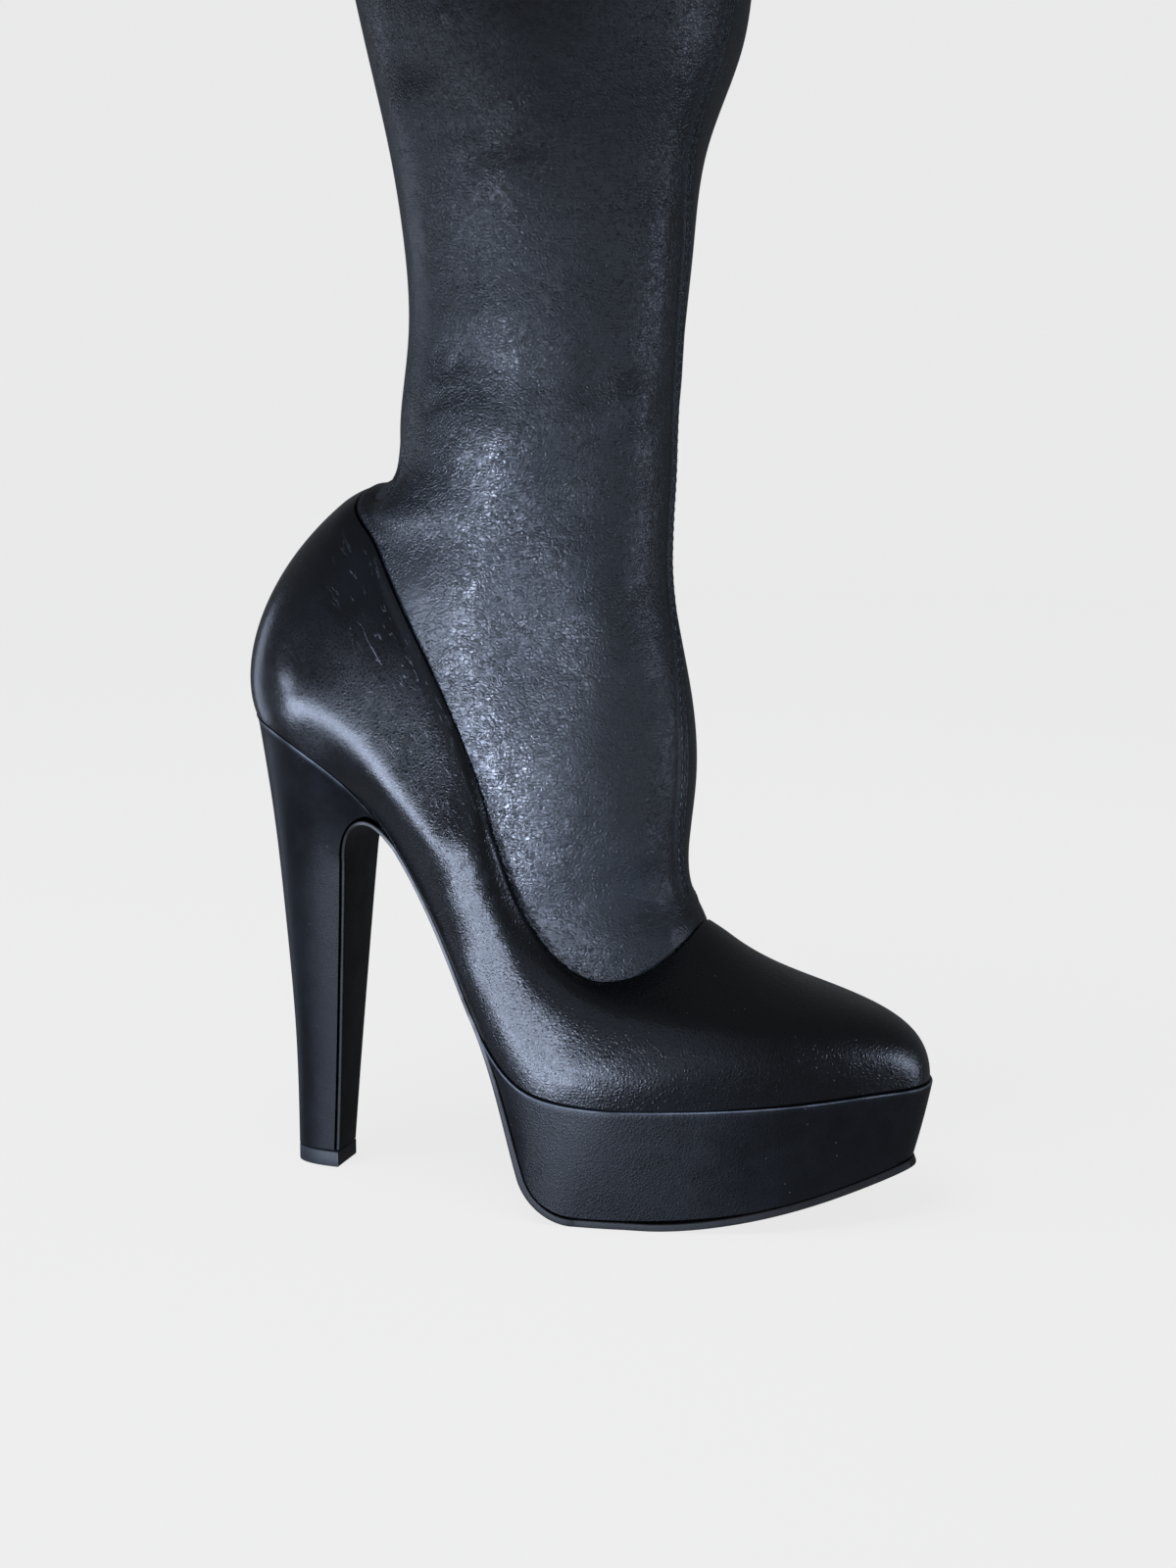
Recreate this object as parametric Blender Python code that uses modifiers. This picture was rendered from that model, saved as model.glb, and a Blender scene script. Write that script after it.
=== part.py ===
"""Platform knee-high boot for the right foot, built as its maker puts it together.

Sizes are millimetres in the tables and metres in the scene. The toe points along +X, the outer
side of the leg along -Y, the shaft up along +Z, and the sole stands on z = 0.

Stations round the boot are angles in degrees: 0 at the back, 90 at the outer side, 180 at the
toe and front, 270 at the inner side.
"""

from collections import namedtuple

import bmesh
import bpy
import numpy as np

MM = 0.001

BOOT_HEIGHT = 505.0
FRAME_SHIFT = -1.77
SEAT_GAP = 0.35

UPPER_WALL = 1.6
UPPER_ROWS = 11

SHAFT_WALL = 1.2
SHAFT_TUCK = 8.0
SHAFT_ROWS = 20
SHAFT_ROW_CROWDING = 1.25
SEAM_RISE = 0.6
SEAM_HALF_ANGLE = 4.0

INSOLE_THICKNESS = 1.8
INSOLE_CLEARANCE = 0.8

PLATFORM_PROUD = 0.8
PLATFORM_SHOULDER = 0.7
PLATFORM_START = 77.5

OUTSOLE_THICKNESS = 2.4
WAIST_THICKNESS = 1.3
FLAP_THICKNESS = 1.3
WAIST_PROUD = 0.0
FLAT_REAR = 10.5
FLAT_FRONT = 32.0
FLAT_LATERAL = 38.5
FLAT_MEDIAL = 37.0
TOE_SPRING = 16.4
TOE_SPRING_REACH = 73.0
TOE_SPRING_POWER = 1.65
BEND_RADIUS = 19.0
REAR_WALL_LEAN = 17.0
REAR_WALL_LATERAL = 39.0
REAR_WALL_MEDIAL = 36.0
REAR_WALL_EASE = 1.5
WAIST_START = 75.0
WAIST_END = 60.5

BREAST_FOOT = (-78.5, 5.6)
BREAST_HEAD = (-72.2, 101.0)
BREAST_RISE = (-71.8, 112.0)
BREAST_CROWN = (-64.5, 119.8)
BREAST_LIP = (-54.5, 110.0)
HEEL_ROUNDNESS = 2.3
HEEL_SEAT_INSET = 0.6
HEEL_BACK_POINTS = 17

TOP_PIECE_THICKNESS = 5.2
TOP_PIECE_BACK = -94.6

TOE_SWING = 5.0
TOE_SWING_START = 20.0
TOE_SWING_LENGTH = 90.0

LegRow = namedtuple("LegRow", "height back front half_width")
LEG = (
    LegRow(60.0, -67.0, 42.0, 34.0),
    LegRow(80.0, -67.5, 41.0, 34.5),
    LegRow(88.0, -67.8, 38.6, 34.6),
    LegRow(96.0, -68.0, 34.6, 34.8),
    LegRow(105.0, -68.2, 33.2, 35.0),
    LegRow(130.0, -68.5, 35.3, 36.0),
    LegRow(155.0, -69.0, 33.9, 36.0),
    LegRow(175.0, -69.3, 30.0, 35.5),
    LegRow(195.0, -69.8, 27.3, 35.0),
    LegRow(205.0, -70.8, 27.4, 34.7),
    LegRow(212.0, -71.4, 27.7, 34.5),
    LegRow(217.0, -65.6, 28.0, 34.2),
    LegRow(223.0, -59.0, 28.3, 34.0),
    LegRow(235.0, -55.8, 28.7, 33.8),
    LegRow(262.0, -52.7, 30.5, 34.5),
    LegRow(290.0, -53.6, 33.3, 37.0),
    LegRow(318.0, -57.8, 37.3, 41.5),
    LegRow(346.0, -64.0, 47.2, 48.0),
    LegRow(362.0, -67.5, 49.8, 51.0),
    LegRow(400.0, -74.5, 51.0, 55.0),
    LegRow(440.0, -76.5, 51.0, 57.0),
    LegRow(505.0, -75.0, 50.0, 57.0),
)

ToplineRow = namedtuple("ToplineRow", "angle height")
TOPLINE = (
    ToplineRow(0, 213.5),
    ToplineRow(30, 209.5),
    ToplineRow(45, 201.0),
    ToplineRow(60, 183.5),
    ToplineRow(75, 159.0),
    ToplineRow(90, 124.0),
    ToplineRow(97, 105.0),
    ToplineRow(103, 90.5),
    ToplineRow(110, 80.5),
    ToplineRow(120, 75.4),
    ToplineRow(135, 76.6),
    ToplineRow(150, 81.6),
    ToplineRow(165, 86.4),
    ToplineRow(180, 88.4),
)

FeatherRow = namedtuple("FeatherRow", "angle forward height lateral medial")
FEATHER = (
    FeatherRow(0, -103.4, 147.0, 0.0, 0.0),
    FeatherRow(15, -101.0, 146.2, 13.5, 13.0),
    FeatherRow(30, -92.6, 143.3, 22.0, 21.0),
    FeatherRow(45, -76.3, 134.6, 26.0, 24.5),
    FeatherRow(60, -52.5, 110.5, 23.0, 20.0),
    FeatherRow(70, -33.6, 78.6, 27.0, 22.0),
    FeatherRow(77, -20.5, 56.0, 34.0, 27.0),
    FeatherRow(83, -9.1, 44.3, 39.0, 32.0),
    FeatherRow(90, 3.5, 40.0, 42.0, 37.0),
    FeatherRow(105, 31.0, 39.0, 41.0, 40.0),
    FeatherRow(120, 57.0, 40.1, 36.0, 37.0),
    FeatherRow(135, 78.5, 41.4, 28.0, 30.5),
    FeatherRow(150, 94.5, 42.4, 18.0, 21.5),
    FeatherRow(165, 105.0, 42.6, 8.8, 11.0),
    FeatherRow(180, 108.3, 42.7, 0.0, 0.0),
)

SwellRow = namedtuple("SwellRow", "angle low_out low_up high_out high_up")
SWELL = (
    SwellRow(0, 6.2, 16.0, 32.0, -22.8),
    SwellRow(15, 6.4, 16.0, 28.6, -22.8),
    SwellRow(30, 6.0, 16.0, 19.0, -23.0),
    SwellRow(45, 8.0, 15.0, 12.0, -22.0),
    SwellRow(60, 12.0, 14.0, 8.0, -22.0),
    SwellRow(75, 11.0, 20.0, 5.0, -24.0),
    SwellRow(90, 6.0, 26.0, 4.0, -28.0),
    SwellRow(105, 4.0, 22.0, 8.0, -16.0),
    SwellRow(120, 3.0, 22.0, 14.0, -8.0),
    SwellRow(135, 2.2, 23.5, 18.0, -11.0),
    SwellRow(150, 1.4, 25.0, 22.0, -18.5),
    SwellRow(165, 0.6, 27.0, 25.0, -24.5),
    SwellRow(180, 0.0, 28.0, 26.0, -26.5),
)

DraftRow = namedtuple("DraftRow", "angle inset")
DRAFT = (
    DraftRow(90, 3.5),
    DraftRow(120, 4.2),
    DraftRow(150, 4.4),
    DraftRow(180, 4.4),
)

BreastRow = namedtuple("BreastRow", "share half_width back_height")
BREAST = (
    BreastRow(0.0, 7.5, 5.6),
    BreastRow(0.1, 8.0, 15.0),
    BreastRow(0.25, 8.8, 29.5),
    BreastRow(0.4, 9.8, 44.0),
    BreastRow(0.55, 10.9, 58.5),
    BreastRow(0.7, 12.0, 73.0),
    BreastRow(0.85, 13.2, 88.0),
    BreastRow(1.0, 14.6, 103.0),
)

HeelBackRow = namedtuple("HeelBackRow", "height back")
HEEL_BACK = (
    HeelBackRow(5.0, -94.2),
    HeelBackRow(20.0, -94.2),
    HeelBackRow(39.0, -94.5),
    HeelBackRow(58.0, -95.4),
    HeelBackRow(77.0, -96.9),
    HeelBackRow(96.0, -98.4),
    HeelBackRow(115.0, -100.1),
    HeelBackRow(133.0, -102.4),
    HeelBackRow(143.0, -103.2),
    HeelBackRow(147.0, -103.7),
)

COLUMN_STEP = 6.0
SLOPE_STEP = 0.25
LOOKUP_ANGLES = np.linspace(0.0, 180.0, 721)
SEAM_COLUMNS = (171.0, 175.5, 177.5, 182.5, 184.5, 189.0)
FOREFOOT_STATIONS = (179, 176, 172, 168, 163, 157, 150, 142, 134, 126, 118, 110, 102)
BEND_STATIONS = 5
REAR_WALL_STATIONS = 4
WAIST_STATIONS = 7
ARCH_STATIONS = (0.12, 0.3, 0.45, 0.6, 0.75, 0.88)
INSOLE_STATIONS = (4, 9, 15, 21, 27, 33, 39, 45, 51, 56, 60.5, 63, 65.3, 67.7, 70.2, 72.6, 75, 77.5,
                   80, 83, 87, 92, 97, 102, 110, 118, 126, 134, 142, 150, 157, 163, 168, 172, 176)


def column(table, name):
    """One named column of a table as an array."""
    return np.array([getattr(row, name) for row in table], dtype=float)


def spline(knots, values, period=None):
    """Smooth cubic through a table column, closed on itself where a period is given."""
    knots = np.asarray(knots, dtype=float)
    values = np.asarray(values, dtype=float)
    if period:
        knots = np.append(knots, knots[0] + period)
        values = np.append(values, values[0])
    count = len(knots)
    spans = np.diff(knots)
    slopes = np.diff(values) / spans
    matrix = np.eye(count)
    right = np.zeros(count)
    for row in range(1, count - 1):
        matrix[row, row - 1] = spans[row - 1]
        matrix[row, row] = 2.0 * (spans[row - 1] + spans[row])
        matrix[row, row + 1] = spans[row]
        right[row] = 6.0 * (slopes[row] - slopes[row - 1])
    if period:
        matrix[0, -1] = -1.0
        matrix[-1, -1] = 2.0 * spans[-1]
        matrix[-1, -2] = spans[-1]
        matrix[-1, 0] = 2.0 * spans[0]
        matrix[-1, 1] = spans[0]
        right[-1] = 6.0 * (slopes[0] - slopes[-1])
    bend = np.linalg.solve(matrix, right)

    def value(where):
        where = np.asarray(where, dtype=float)
        if period:
            where = knots[0] + np.mod(where - knots[0], period)
        cell = np.clip(np.searchsorted(knots, where, side="right") - 1, 0, count - 2)
        span = spans[cell]
        after = where - knots[cell]
        before = span - after
        cubic = (bend[cell] * before ** 3 + bend[cell + 1] * after ** 3) / (6.0 * span)
        left = (values[cell] / span - bend[cell] * span / 6.0) * before
        return cubic + left + (values[cell + 1] / span - bend[cell + 1] * span / 6.0) * after

    return value


def around(table, outer, inner=None, inner_sign=1.0):
    """Spline of a half-turn table column carried round the whole boot."""
    inner = inner or outer
    angles = column(table, "angle")
    there = column(table, outer)
    back = inner_sign * column(table, inner)[-2:0:-1]
    return spline(np.append(angles, 360.0 - angles[-2:0:-1]), np.append(there, back), 360.0)


leg_back = spline(column(LEG, "height"), column(LEG, "back"))
leg_front = spline(column(LEG, "height"), column(LEG, "front"))
leg_half = spline(column(LEG, "height"), column(LEG, "half_width"))
topline_height = around(TOPLINE, "height")
feather_forward = around(FEATHER, "forward")
feather_height = around(FEATHER, "height")
feather_side = around(FEATHER, "lateral", "medial", -1.0)
swell_low_out = around(SWELL, "low_out")
swell_low_up = around(SWELL, "low_up")
swell_high_out = around(SWELL, "high_out")
swell_high_up = around(SWELL, "high_up")
heel_back = spline(column(HEEL_BACK, "height"), column(HEEL_BACK, "back"))


def points(forward, side, up):
    """Stack three coordinate arrays into points."""
    return np.stack(np.broadcast_arrays(forward, side, up), axis=-1).astype(float)


def outward(angle):
    """Level direction that faces away from the boot at a station."""
    turn = np.radians(angle)
    return points(-np.cos(turn), -np.sin(turn), 0.0 * turn)


def leg(height, angle):
    """Surface of the leg: an ellipse at each height, between its back, front and half width."""
    back, front = leg_back(height), leg_front(height)
    turn = np.radians(angle)
    forward = (back + front) / 2.0 - (front - back) / 2.0 * np.cos(turn)
    return points(forward, -leg_half(height) * np.sin(turn), height)


def leg_outward(height, angle):
    """Level normal of the leg at a height and station."""
    back, front = leg_back(height), leg_front(height)
    turn = np.radians(angle)
    normal = points(-leg_half(height) * np.cos(turn), -(front - back) / 2.0 * np.sin(turn), 0.0 * turn)
    return normal / np.linalg.norm(normal, axis=-1, keepdims=True)


def toe_swing(forward):
    """Sideways lean of the last towards the inner side, growing to the toe."""
    share = np.clip((forward - TOE_SWING_START) / TOE_SWING_LENGTH, 0.0, 1.0)
    return TOE_SWING * share * share * (3.0 - 2.0 * share)


def feather(angle):
    """Lower edge of the upper, where the sole meets it."""
    forward = feather_forward(angle)
    return points(forward, toe_swing(forward) - feather_side(angle), feather_height(angle))


def feather_outward(angle):
    """Level normal of the feather edge, away from the boot."""
    way = feather(angle + SLOPE_STEP) - feather(angle - SLOPE_STEP)
    normal = points(way[..., 1], -way[..., 0], 0.0 * way[..., 2])
    return normal / np.linalg.norm(normal, axis=-1, keepdims=True)


def topline(angle):
    """Upper edge of the upper, lying just outside the leg."""
    height = topline_height(angle)
    return leg(height, angle) + leg_outward(height, angle) * (UPPER_WALL + SEAT_GAP)


def cubic_curve(start, start_pull, end_pull, end, t):
    """Cubic curve from start to end, drawn towards two pulling points on its way."""
    left = 1.0 - t
    return left ** 3 * start + 3 * t * left ** 2 * start_pull + 3 * t ** 2 * left * end_pull + t ** 3 * end


def upper_surface(share, angle):
    """Outside of the upper: a cubic curve from feather edge to topline, swollen by the table."""
    low, high = feather(angle), topline(angle)
    away = outward(angle)
    lift = np.array((0.0, 0.0, 1.0))
    low_pull = low + away * swell_low_out(angle)[..., None] + lift * swell_low_up(angle)[..., None]
    high_pull = high + away * swell_high_out(angle)[..., None] + lift * swell_high_up(angle)[..., None]
    return cubic_curve(low, low_pull, high_pull, high, share[..., None])


def shaft_surface(share, angle):
    """Outside of the shaft: the leg from inside the topline to the top, with its front seam raised."""
    start = topline_height(angle) - SHAFT_TUCK
    height = start + (BOOT_HEIGHT - start) * share
    above = np.clip((height - topline_height(angle)) / SHAFT_TUCK, 0.0, 1.0)
    ridge = np.where(np.abs(angle - 180.0) < SEAM_HALF_ANGLE, SEAM_RISE, 0.0) * above
    return leg(height, angle) + leg_outward(height, angle) * ridge[..., None]


def columns():
    """Angles of the vertical edge lines shared by upper and shaft."""
    even = np.arange(0.0, 360.0, COLUMN_STEP)
    near_seam = np.abs(even - 180.0) < min(abs(a - 180.0) for a in SEAM_COLUMNS) + COLUMN_STEP
    kept = even[~near_seam | (even == 180.0)]
    return np.unique(np.append(kept, SEAM_COLUMNS))


def side_view(angle):
    """Forward and height of the feather edge, as seen from the side."""
    return np.array((feather_forward(angle), feather_height(angle)), dtype=float)


def below_feather(angle, drop):
    """Point at a distance square below the feather edge, as seen from the side."""
    ahead = side_view(angle + SLOPE_STEP) - side_view(angle - SLOPE_STEP)
    ahead /= np.hypot(*ahead)
    return side_view(angle) + drop * np.array((ahead[1], -ahead[0]))


def seat_height(forward):
    """Height of the feather edge over a point of the floor."""
    return np.interp(forward, feather_forward(LOOKUP_ANGLES), feather_height(LOOKUP_ANGLES))


def sole_bottom_height(forward):
    """Underside of the forefoot: flat, then sprung up to the toe."""
    beyond = np.maximum(np.asarray(forward, dtype=float) - FLAT_FRONT, 0.0)
    return TOE_SPRING * (beyond / TOE_SPRING_REACH) ** TOE_SPRING_POWER


def sole_bottom_edge(angle):
    """Lower edge of the forefoot sole, drawn in from the feather edge by the draft of the wall."""
    half_turn = min(angle, 360.0 - angle)
    inset = np.interp(half_turn, column(DRAFT, "angle"), column(DRAFT, "inset")) - PLATFORM_PROUD
    turn = np.array(float(angle))
    return (feather(turn) - feather_outward(turn) * inset)[:2]


def hermite(start, start_way, end, end_way, share):
    """Curve between two points that leaves and arrives along given directions."""
    reach = np.hypot(*(end - start))
    s2, s3 = share ** 2, share ** 3
    ends = (2 * s3 - 3 * s2 + 1) * start + (3 * s2 - 2 * s3) * end
    return ends + reach * ((s3 - 2 * s2 + share) * start_way + (s3 - s2) * end_way)


def breast_arch(share):
    """Cubic curve from the lip of the heel round to the head of its breast."""
    lip, crown, rise, head = (np.array(p) for p in (BREAST_LIP, BREAST_CROWN, BREAST_RISE, BREAST_HEAD))
    return cubic_curve(lip, crown, rise, head, share)


SoleStation = namedtuple("SoleStation", "forward height lateral medial thickness")


def forefoot_stations():
    """Outsole stations from the toe back to the end of the flat."""
    found = []
    for angle in FOREFOOT_STATIONS:
        outer, inner = sole_bottom_edge(angle), sole_bottom_edge(360.0 - angle)
        forward = (outer[0] + inner[0]) / 2.0
        height = float(sole_bottom_height(forward))
        found.append(SoleStation(forward, height, outer[1], inner[1], OUTSOLE_THICKNESS))
    found.append(SoleStation(FLAT_REAR, 0.0, -FLAT_LATERAL, FLAT_MEDIAL, OUTSOLE_THICKNESS))
    return found


def rear_stations():
    """Outsole stations round the rear of the platform, up to the waist."""
    found = []
    for turn in np.radians(np.linspace(0.0, 90.0 - REAR_WALL_LEAN, BEND_STATIONS + 1)[1:]):
        forward = FLAT_REAR - BEND_RADIUS * np.sin(turn)
        height = BEND_RADIUS * (1.0 - np.cos(turn))
        found.append(SoleStation(forward, height, -REAR_WALL_LATERAL, REAR_WALL_MEDIAL, OUTSOLE_THICKNESS))
    lean = np.radians(REAR_WALL_LEAN)
    start = np.array(found[-1][:2])
    end = below_feather(WAIST_START, SEAT_GAP + WAIST_THICKNESS)
    end_way = side_view(WAIST_START - SLOPE_STEP) - side_view(WAIST_START)
    end_way /= np.hypot(*end_way)
    waist_outer = feather(np.array(WAIST_START))[1] - WAIST_PROUD
    waist_inner = feather(np.array(360.0 - WAIST_START))[1] + WAIST_PROUD
    for step in range(1, REAR_WALL_STATIONS + 1):
        share = step / (REAR_WALL_STATIONS + 1.0)
        spot = hermite(start, np.array((-np.sin(lean), np.cos(lean))), end, end_way, share)
        ease = share ** REAR_WALL_EASE
        outer = -REAR_WALL_LATERAL + (waist_outer + REAR_WALL_LATERAL) * ease
        inner = REAR_WALL_MEDIAL + (waist_inner - REAR_WALL_MEDIAL) * ease
        thickness = OUTSOLE_THICKNESS + (WAIST_THICKNESS - OUTSOLE_THICKNESS) * share
        found.append(SoleStation(spot[0], spot[1], outer, inner, thickness))
    return found


def waist_stations():
    """Outsole stations along the waist, square below the feather edge."""
    found = []
    for angle in np.linspace(WAIST_START, WAIST_END, WAIST_STATIONS):
        spot = below_feather(angle, SEAT_GAP + WAIST_THICKNESS)
        outer = feather(np.array(angle))[1] - WAIST_PROUD
        inner = feather(np.array(360.0 - angle))[1] + WAIST_PROUD
        found.append(SoleStation(spot[0], spot[1], outer, inner, WAIST_THICKNESS))
    return found


def flap_stations(last_waist):
    """Outsole stations round the lip of the heel and down its breast."""
    found = []
    head = BREAST[-1].half_width
    for share in ARCH_STATIONS:
        spot = breast_arch(share)
        outer = last_waist.lateral + (-head - last_waist.lateral) * share
        inner = last_waist.medial + (head - last_waist.medial) * share
        thickness = WAIST_THICKNESS + (FLAP_THICKNESS - WAIST_THICKNESS) * share
        found.append(SoleStation(spot[0], spot[1], outer, inner, thickness))
    for row in reversed(BREAST):
        spot = np.array(BREAST_FOOT) + (np.array(BREAST_HEAD) - np.array(BREAST_FOOT)) * row.share
        found.append(SoleStation(spot[0], spot[1], -row.half_width, row.half_width, FLAP_THICKNESS))
    return found


def inward_normals(stations):
    """Mitred side-view normals of the sole path, towards the boot."""
    path = np.array([(s.forward, s.height) for s in stations])
    ways = np.diff(path, axis=0)
    ways /= np.linalg.norm(ways, axis=1, keepdims=True)
    before = np.vstack((ways[:1], ways))
    after = np.vstack((ways, ways[-1:]))
    middle = before + after
    middle /= np.linalg.norm(middle, axis=1, keepdims=True)
    normals = np.stack((middle[:, 1], -middle[:, 0]), axis=1)
    return normals / np.sum(before * middle, axis=1, keepdims=True)


def grid_faces(rows, wide):
    """Quads of a grid of closed rings, facing away from the boot."""
    faces = []
    for row in range(rows - 1):
        for place in range(wide):
            step = (place + 1) % wide
            low, high = row * wide, (row + 1) * wide
            faces.append((low + place, low + step, high + step, high + place))
    return faces


def loft(sections):
    """Vertices and faces of a closed body through sections with equal corner counts."""
    corners = len(sections[0])
    vertices = np.concatenate(sections)
    faces = grid_faces(len(sections), corners)
    faces.append(tuple(range(corners)))
    last = (len(sections) - 1) * corners
    faces.append(tuple(range(last, last + corners)))
    return vertices, faces


def strip_section(spot, outer, inner, across, thickness):
    """Four corners of a sheet's cross-section: its outside edge pair, then its inside pair."""
    back = spot + across * thickness
    return np.array((
        (spot[0], outer, spot[1]),
        (spot[0], inner, spot[1]),
        (back[0], inner, back[1]),
        (back[0], outer, back[1]),
    ))


def add_piece(name, vertices, faces, material, smooth):
    """Make one named solid of the boot, with all its faces pointing outwards."""
    mesh = bpy.data.meshes.new(name)
    mesh.from_pydata([tuple(v) for v in np.asarray(vertices) * MM], [], faces)
    shell = bmesh.new()
    shell.from_mesh(mesh)
    bmesh.ops.recalc_face_normals(shell, faces=shell.faces)
    shell.to_mesh(mesh)
    shell.free()
    for polygon in mesh.polygons:
        polygon.use_smooth = smooth
    mesh.materials.append(material)
    piece = bpy.data.objects.new(name, mesh)
    piece.parent = root
    boot.objects.link(piece)
    return piece


def add_shell(name, surface, rows, wall, material):
    """Make a thin hollow piece from an open surface of closed rings, thickened inwards."""
    angles = columns()
    shares, turns = np.meshgrid(rows, angles, indexing="ij")
    vertices = surface(shares, turns).reshape(-1, 3)
    mesh = bpy.data.meshes.new(name)
    mesh.from_pydata([tuple(v) for v in vertices * MM], [], grid_faces(len(rows), len(angles)))
    for polygon in mesh.polygons:
        polygon.use_smooth = True
    mesh.materials.append(material)
    piece = bpy.data.objects.new(name, mesh)
    piece.parent = root
    boot.objects.link(piece)
    thicken = piece.modifiers.new("wall", "SOLIDIFY")
    thicken.thickness = wall * MM
    thicken.offset = -1.0
    thicken.use_even_offset = True
    return piece


def add_material(name, colour, roughness):
    """Plain non-metal material with a linear colour."""
    material = bpy.data.materials.new(name)
    material.use_nodes = True
    shader = material.node_tree.nodes["Principled BSDF"]
    shader.inputs["Base Color"].default_value = (*colour, 1.0)
    shader.inputs["Roughness"].default_value = roughness
    shader.inputs["Metallic"].default_value = 0.0
    material.diffuse_color = (*colour, 1.0)
    return material


def build_insole():
    """Board inside the feather edge, standing just above the sole."""
    sections = []
    for angle in INSOLE_STATIONS:
        pair = []
        for turn in (angle, 360.0 - angle):
            turn = np.array(float(turn))
            pair.append(feather(turn) - feather_outward(turn) * (UPPER_WALL + INSOLE_CLEARANCE))
        forward = (pair[0][0] + pair[1][0]) / 2.0
        way = below_feather(float(angle), -1.0) - side_view(float(angle))
        spot = np.array((forward, float(seat_height(forward))))
        sections.append(strip_section(spot, pair[0][1], pair[1][1], way, INSOLE_THICKNESS))
    return loft(sections)


def build_outsole(stations):
    """Sole leather swept along its path."""
    normals = inward_normals(stations)
    sections = []
    for station, normal in zip(stations, normals):
        spot = np.array((station.forward, station.height))
        sections.append(strip_section(spot, station.lateral, station.medial, normal, station.thickness))
    return loft(sections)


def build_platform(stations, count):
    """Block between the feather edge and the outsole, from the rear wall to the toe."""
    used = stations[:count]
    normals = inward_normals(stations)[:count]
    rear = count - len(FOREFOOT_STATIONS)
    rear_angles = np.linspace(FOREFOOT_STATIONS[-1], PLATFORM_START, rear + 1)[1:]
    top_angles = np.append(FOREFOOT_STATIONS, rear_angles)
    sections = []
    for station, normal, angle in zip(used, normals, top_angles):
        low = np.array((station.forward, station.height)) + normal * (station.thickness + SEAT_GAP)
        top = []
        for turn in (angle, 360.0 - angle):
            turn = np.array(float(turn))
            rim = feather(turn) - np.array((0.0, 0.0, SEAT_GAP))
            shoulder = rim + feather_outward(turn) * PLATFORM_PROUD - np.array((0.0, 0.0, PLATFORM_SHOULDER))
            top.append((rim, shoulder))
        sections.append(np.array((
            (low[0], station.lateral, low[1]),
            (low[0], station.medial, low[1]),
            top[1][1],
            top[1][0],
            top[0][0],
            top[0][1],
        )))
    return loft(sections)


def heel_outline():
    """Depth and width shares of the heel's D-shape, from its outer front corner round the back."""
    turns = np.radians(np.linspace(-90.0, 90.0, HEEL_BACK_POINTS))
    depth = np.abs(np.cos(turns)) ** (2.0 / HEEL_ROUNDNESS)
    depth[[0, -1]] = 0.0
    width = np.sign(np.sin(turns)) * np.abs(np.sin(turns)) ** (2.0 / HEEL_ROUNDNESS)
    return depth, width


def heel_rings(flap):
    """D-shaped rings from the bottom of the heel to its seat, flat along the breast."""
    normals = inward_normals(flap)
    foot_first = list(zip(flap, normals))[::-1]
    heights = column(BREAST, "back_height")
    seat_back = FEATHER[0].height - SEAT_GAP
    climb = np.linspace(heights[-1], seat_back, len(ARCH_STATIONS) + 1)[1:]
    back_heights = np.append(heights, climb)
    depth_share, width_share = heel_outline()
    rings = []
    for number, (station, normal) in enumerate(foot_first):
        front = np.array((station.forward, station.height)) + normal * (station.thickness + SEAT_GAP)
        back_up = back_heights[number]
        back = float(heel_back(back_up)) + HEEL_SEAT_INSET
        seat_share = max(0.0, (number - len(BREAST) + 1) / len(ARCH_STATIONS)) ** 2
        forward = front[0] + (back - front[0]) * depth_share
        level = front[1] + (back_up - front[1]) * depth_share
        seat = seat_height(forward) - SEAT_GAP
        height = level + (seat - level) * seat_share
        plain = np.where(width_share < 0, -station.lateral, station.medial) * width_share
        edge = feather_forward(LOOKUP_ANGLES)
        outer = np.interp(forward, edge, feather_side(LOOKUP_ANGLES)) - HEEL_SEAT_INSET
        inner = np.interp(forward, edge, -feather_side(360.0 - LOOKUP_ANGLES)) - HEEL_SEAT_INSET
        cup = np.where(width_share < 0, -np.maximum(outer, 0.0), np.maximum(inner, 0.0))
        cup[HEEL_BACK_POINTS // 2] = 0.0
        side = plain + (cup - plain) * seat_share
        rings.append(points(forward, side, height))
    return rings


def build_heel(flap):
    """Heel body: its rings, a flat foot and a seat ruled across from side to side."""
    rings = heel_rings(flap)
    wide = HEEL_BACK_POINTS
    vertices = np.concatenate(rings)
    faces = grid_faces(len(rings), wide)
    faces.append(tuple(range(wide)))
    top = (len(rings) - 1) * wide
    for place in range(wide // 2 - 1):
        far = wide - 1 - place
        faces.append((top + place, top + place + 1, top + far - 1, top + far))
    middle = wide // 2
    faces.append((top + middle - 1, top + middle, top + middle + 1))
    return vertices, faces


def build_top_piece():
    """Rubber lift with the outline of the heel's foot, flat on the floor."""
    depth, width = heel_outline()
    front = BREAST_FOOT[0] - (BREAST_HEAD[0] - BREAST_FOOT[0]) * TOP_PIECE_THICKNESS / BREAST_HEAD[1]
    forward = front + (TOP_PIECE_BACK - front) * depth
    side = BREAST[0].half_width * width
    return loft([points(forward, side, 0.0), points(forward, side, TOP_PIECE_THICKNESS)])


for leftover in list(bpy.data.objects):
    bpy.data.objects.remove(leftover, do_unlink=True)

boot = bpy.data.collections.new("platform_boot")
bpy.context.scene.collection.children.link(boot)
root = bpy.data.objects.new("platform_boot", None)
root.location.x = FRAME_SHIFT * MM
boot.objects.link(root)

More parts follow.
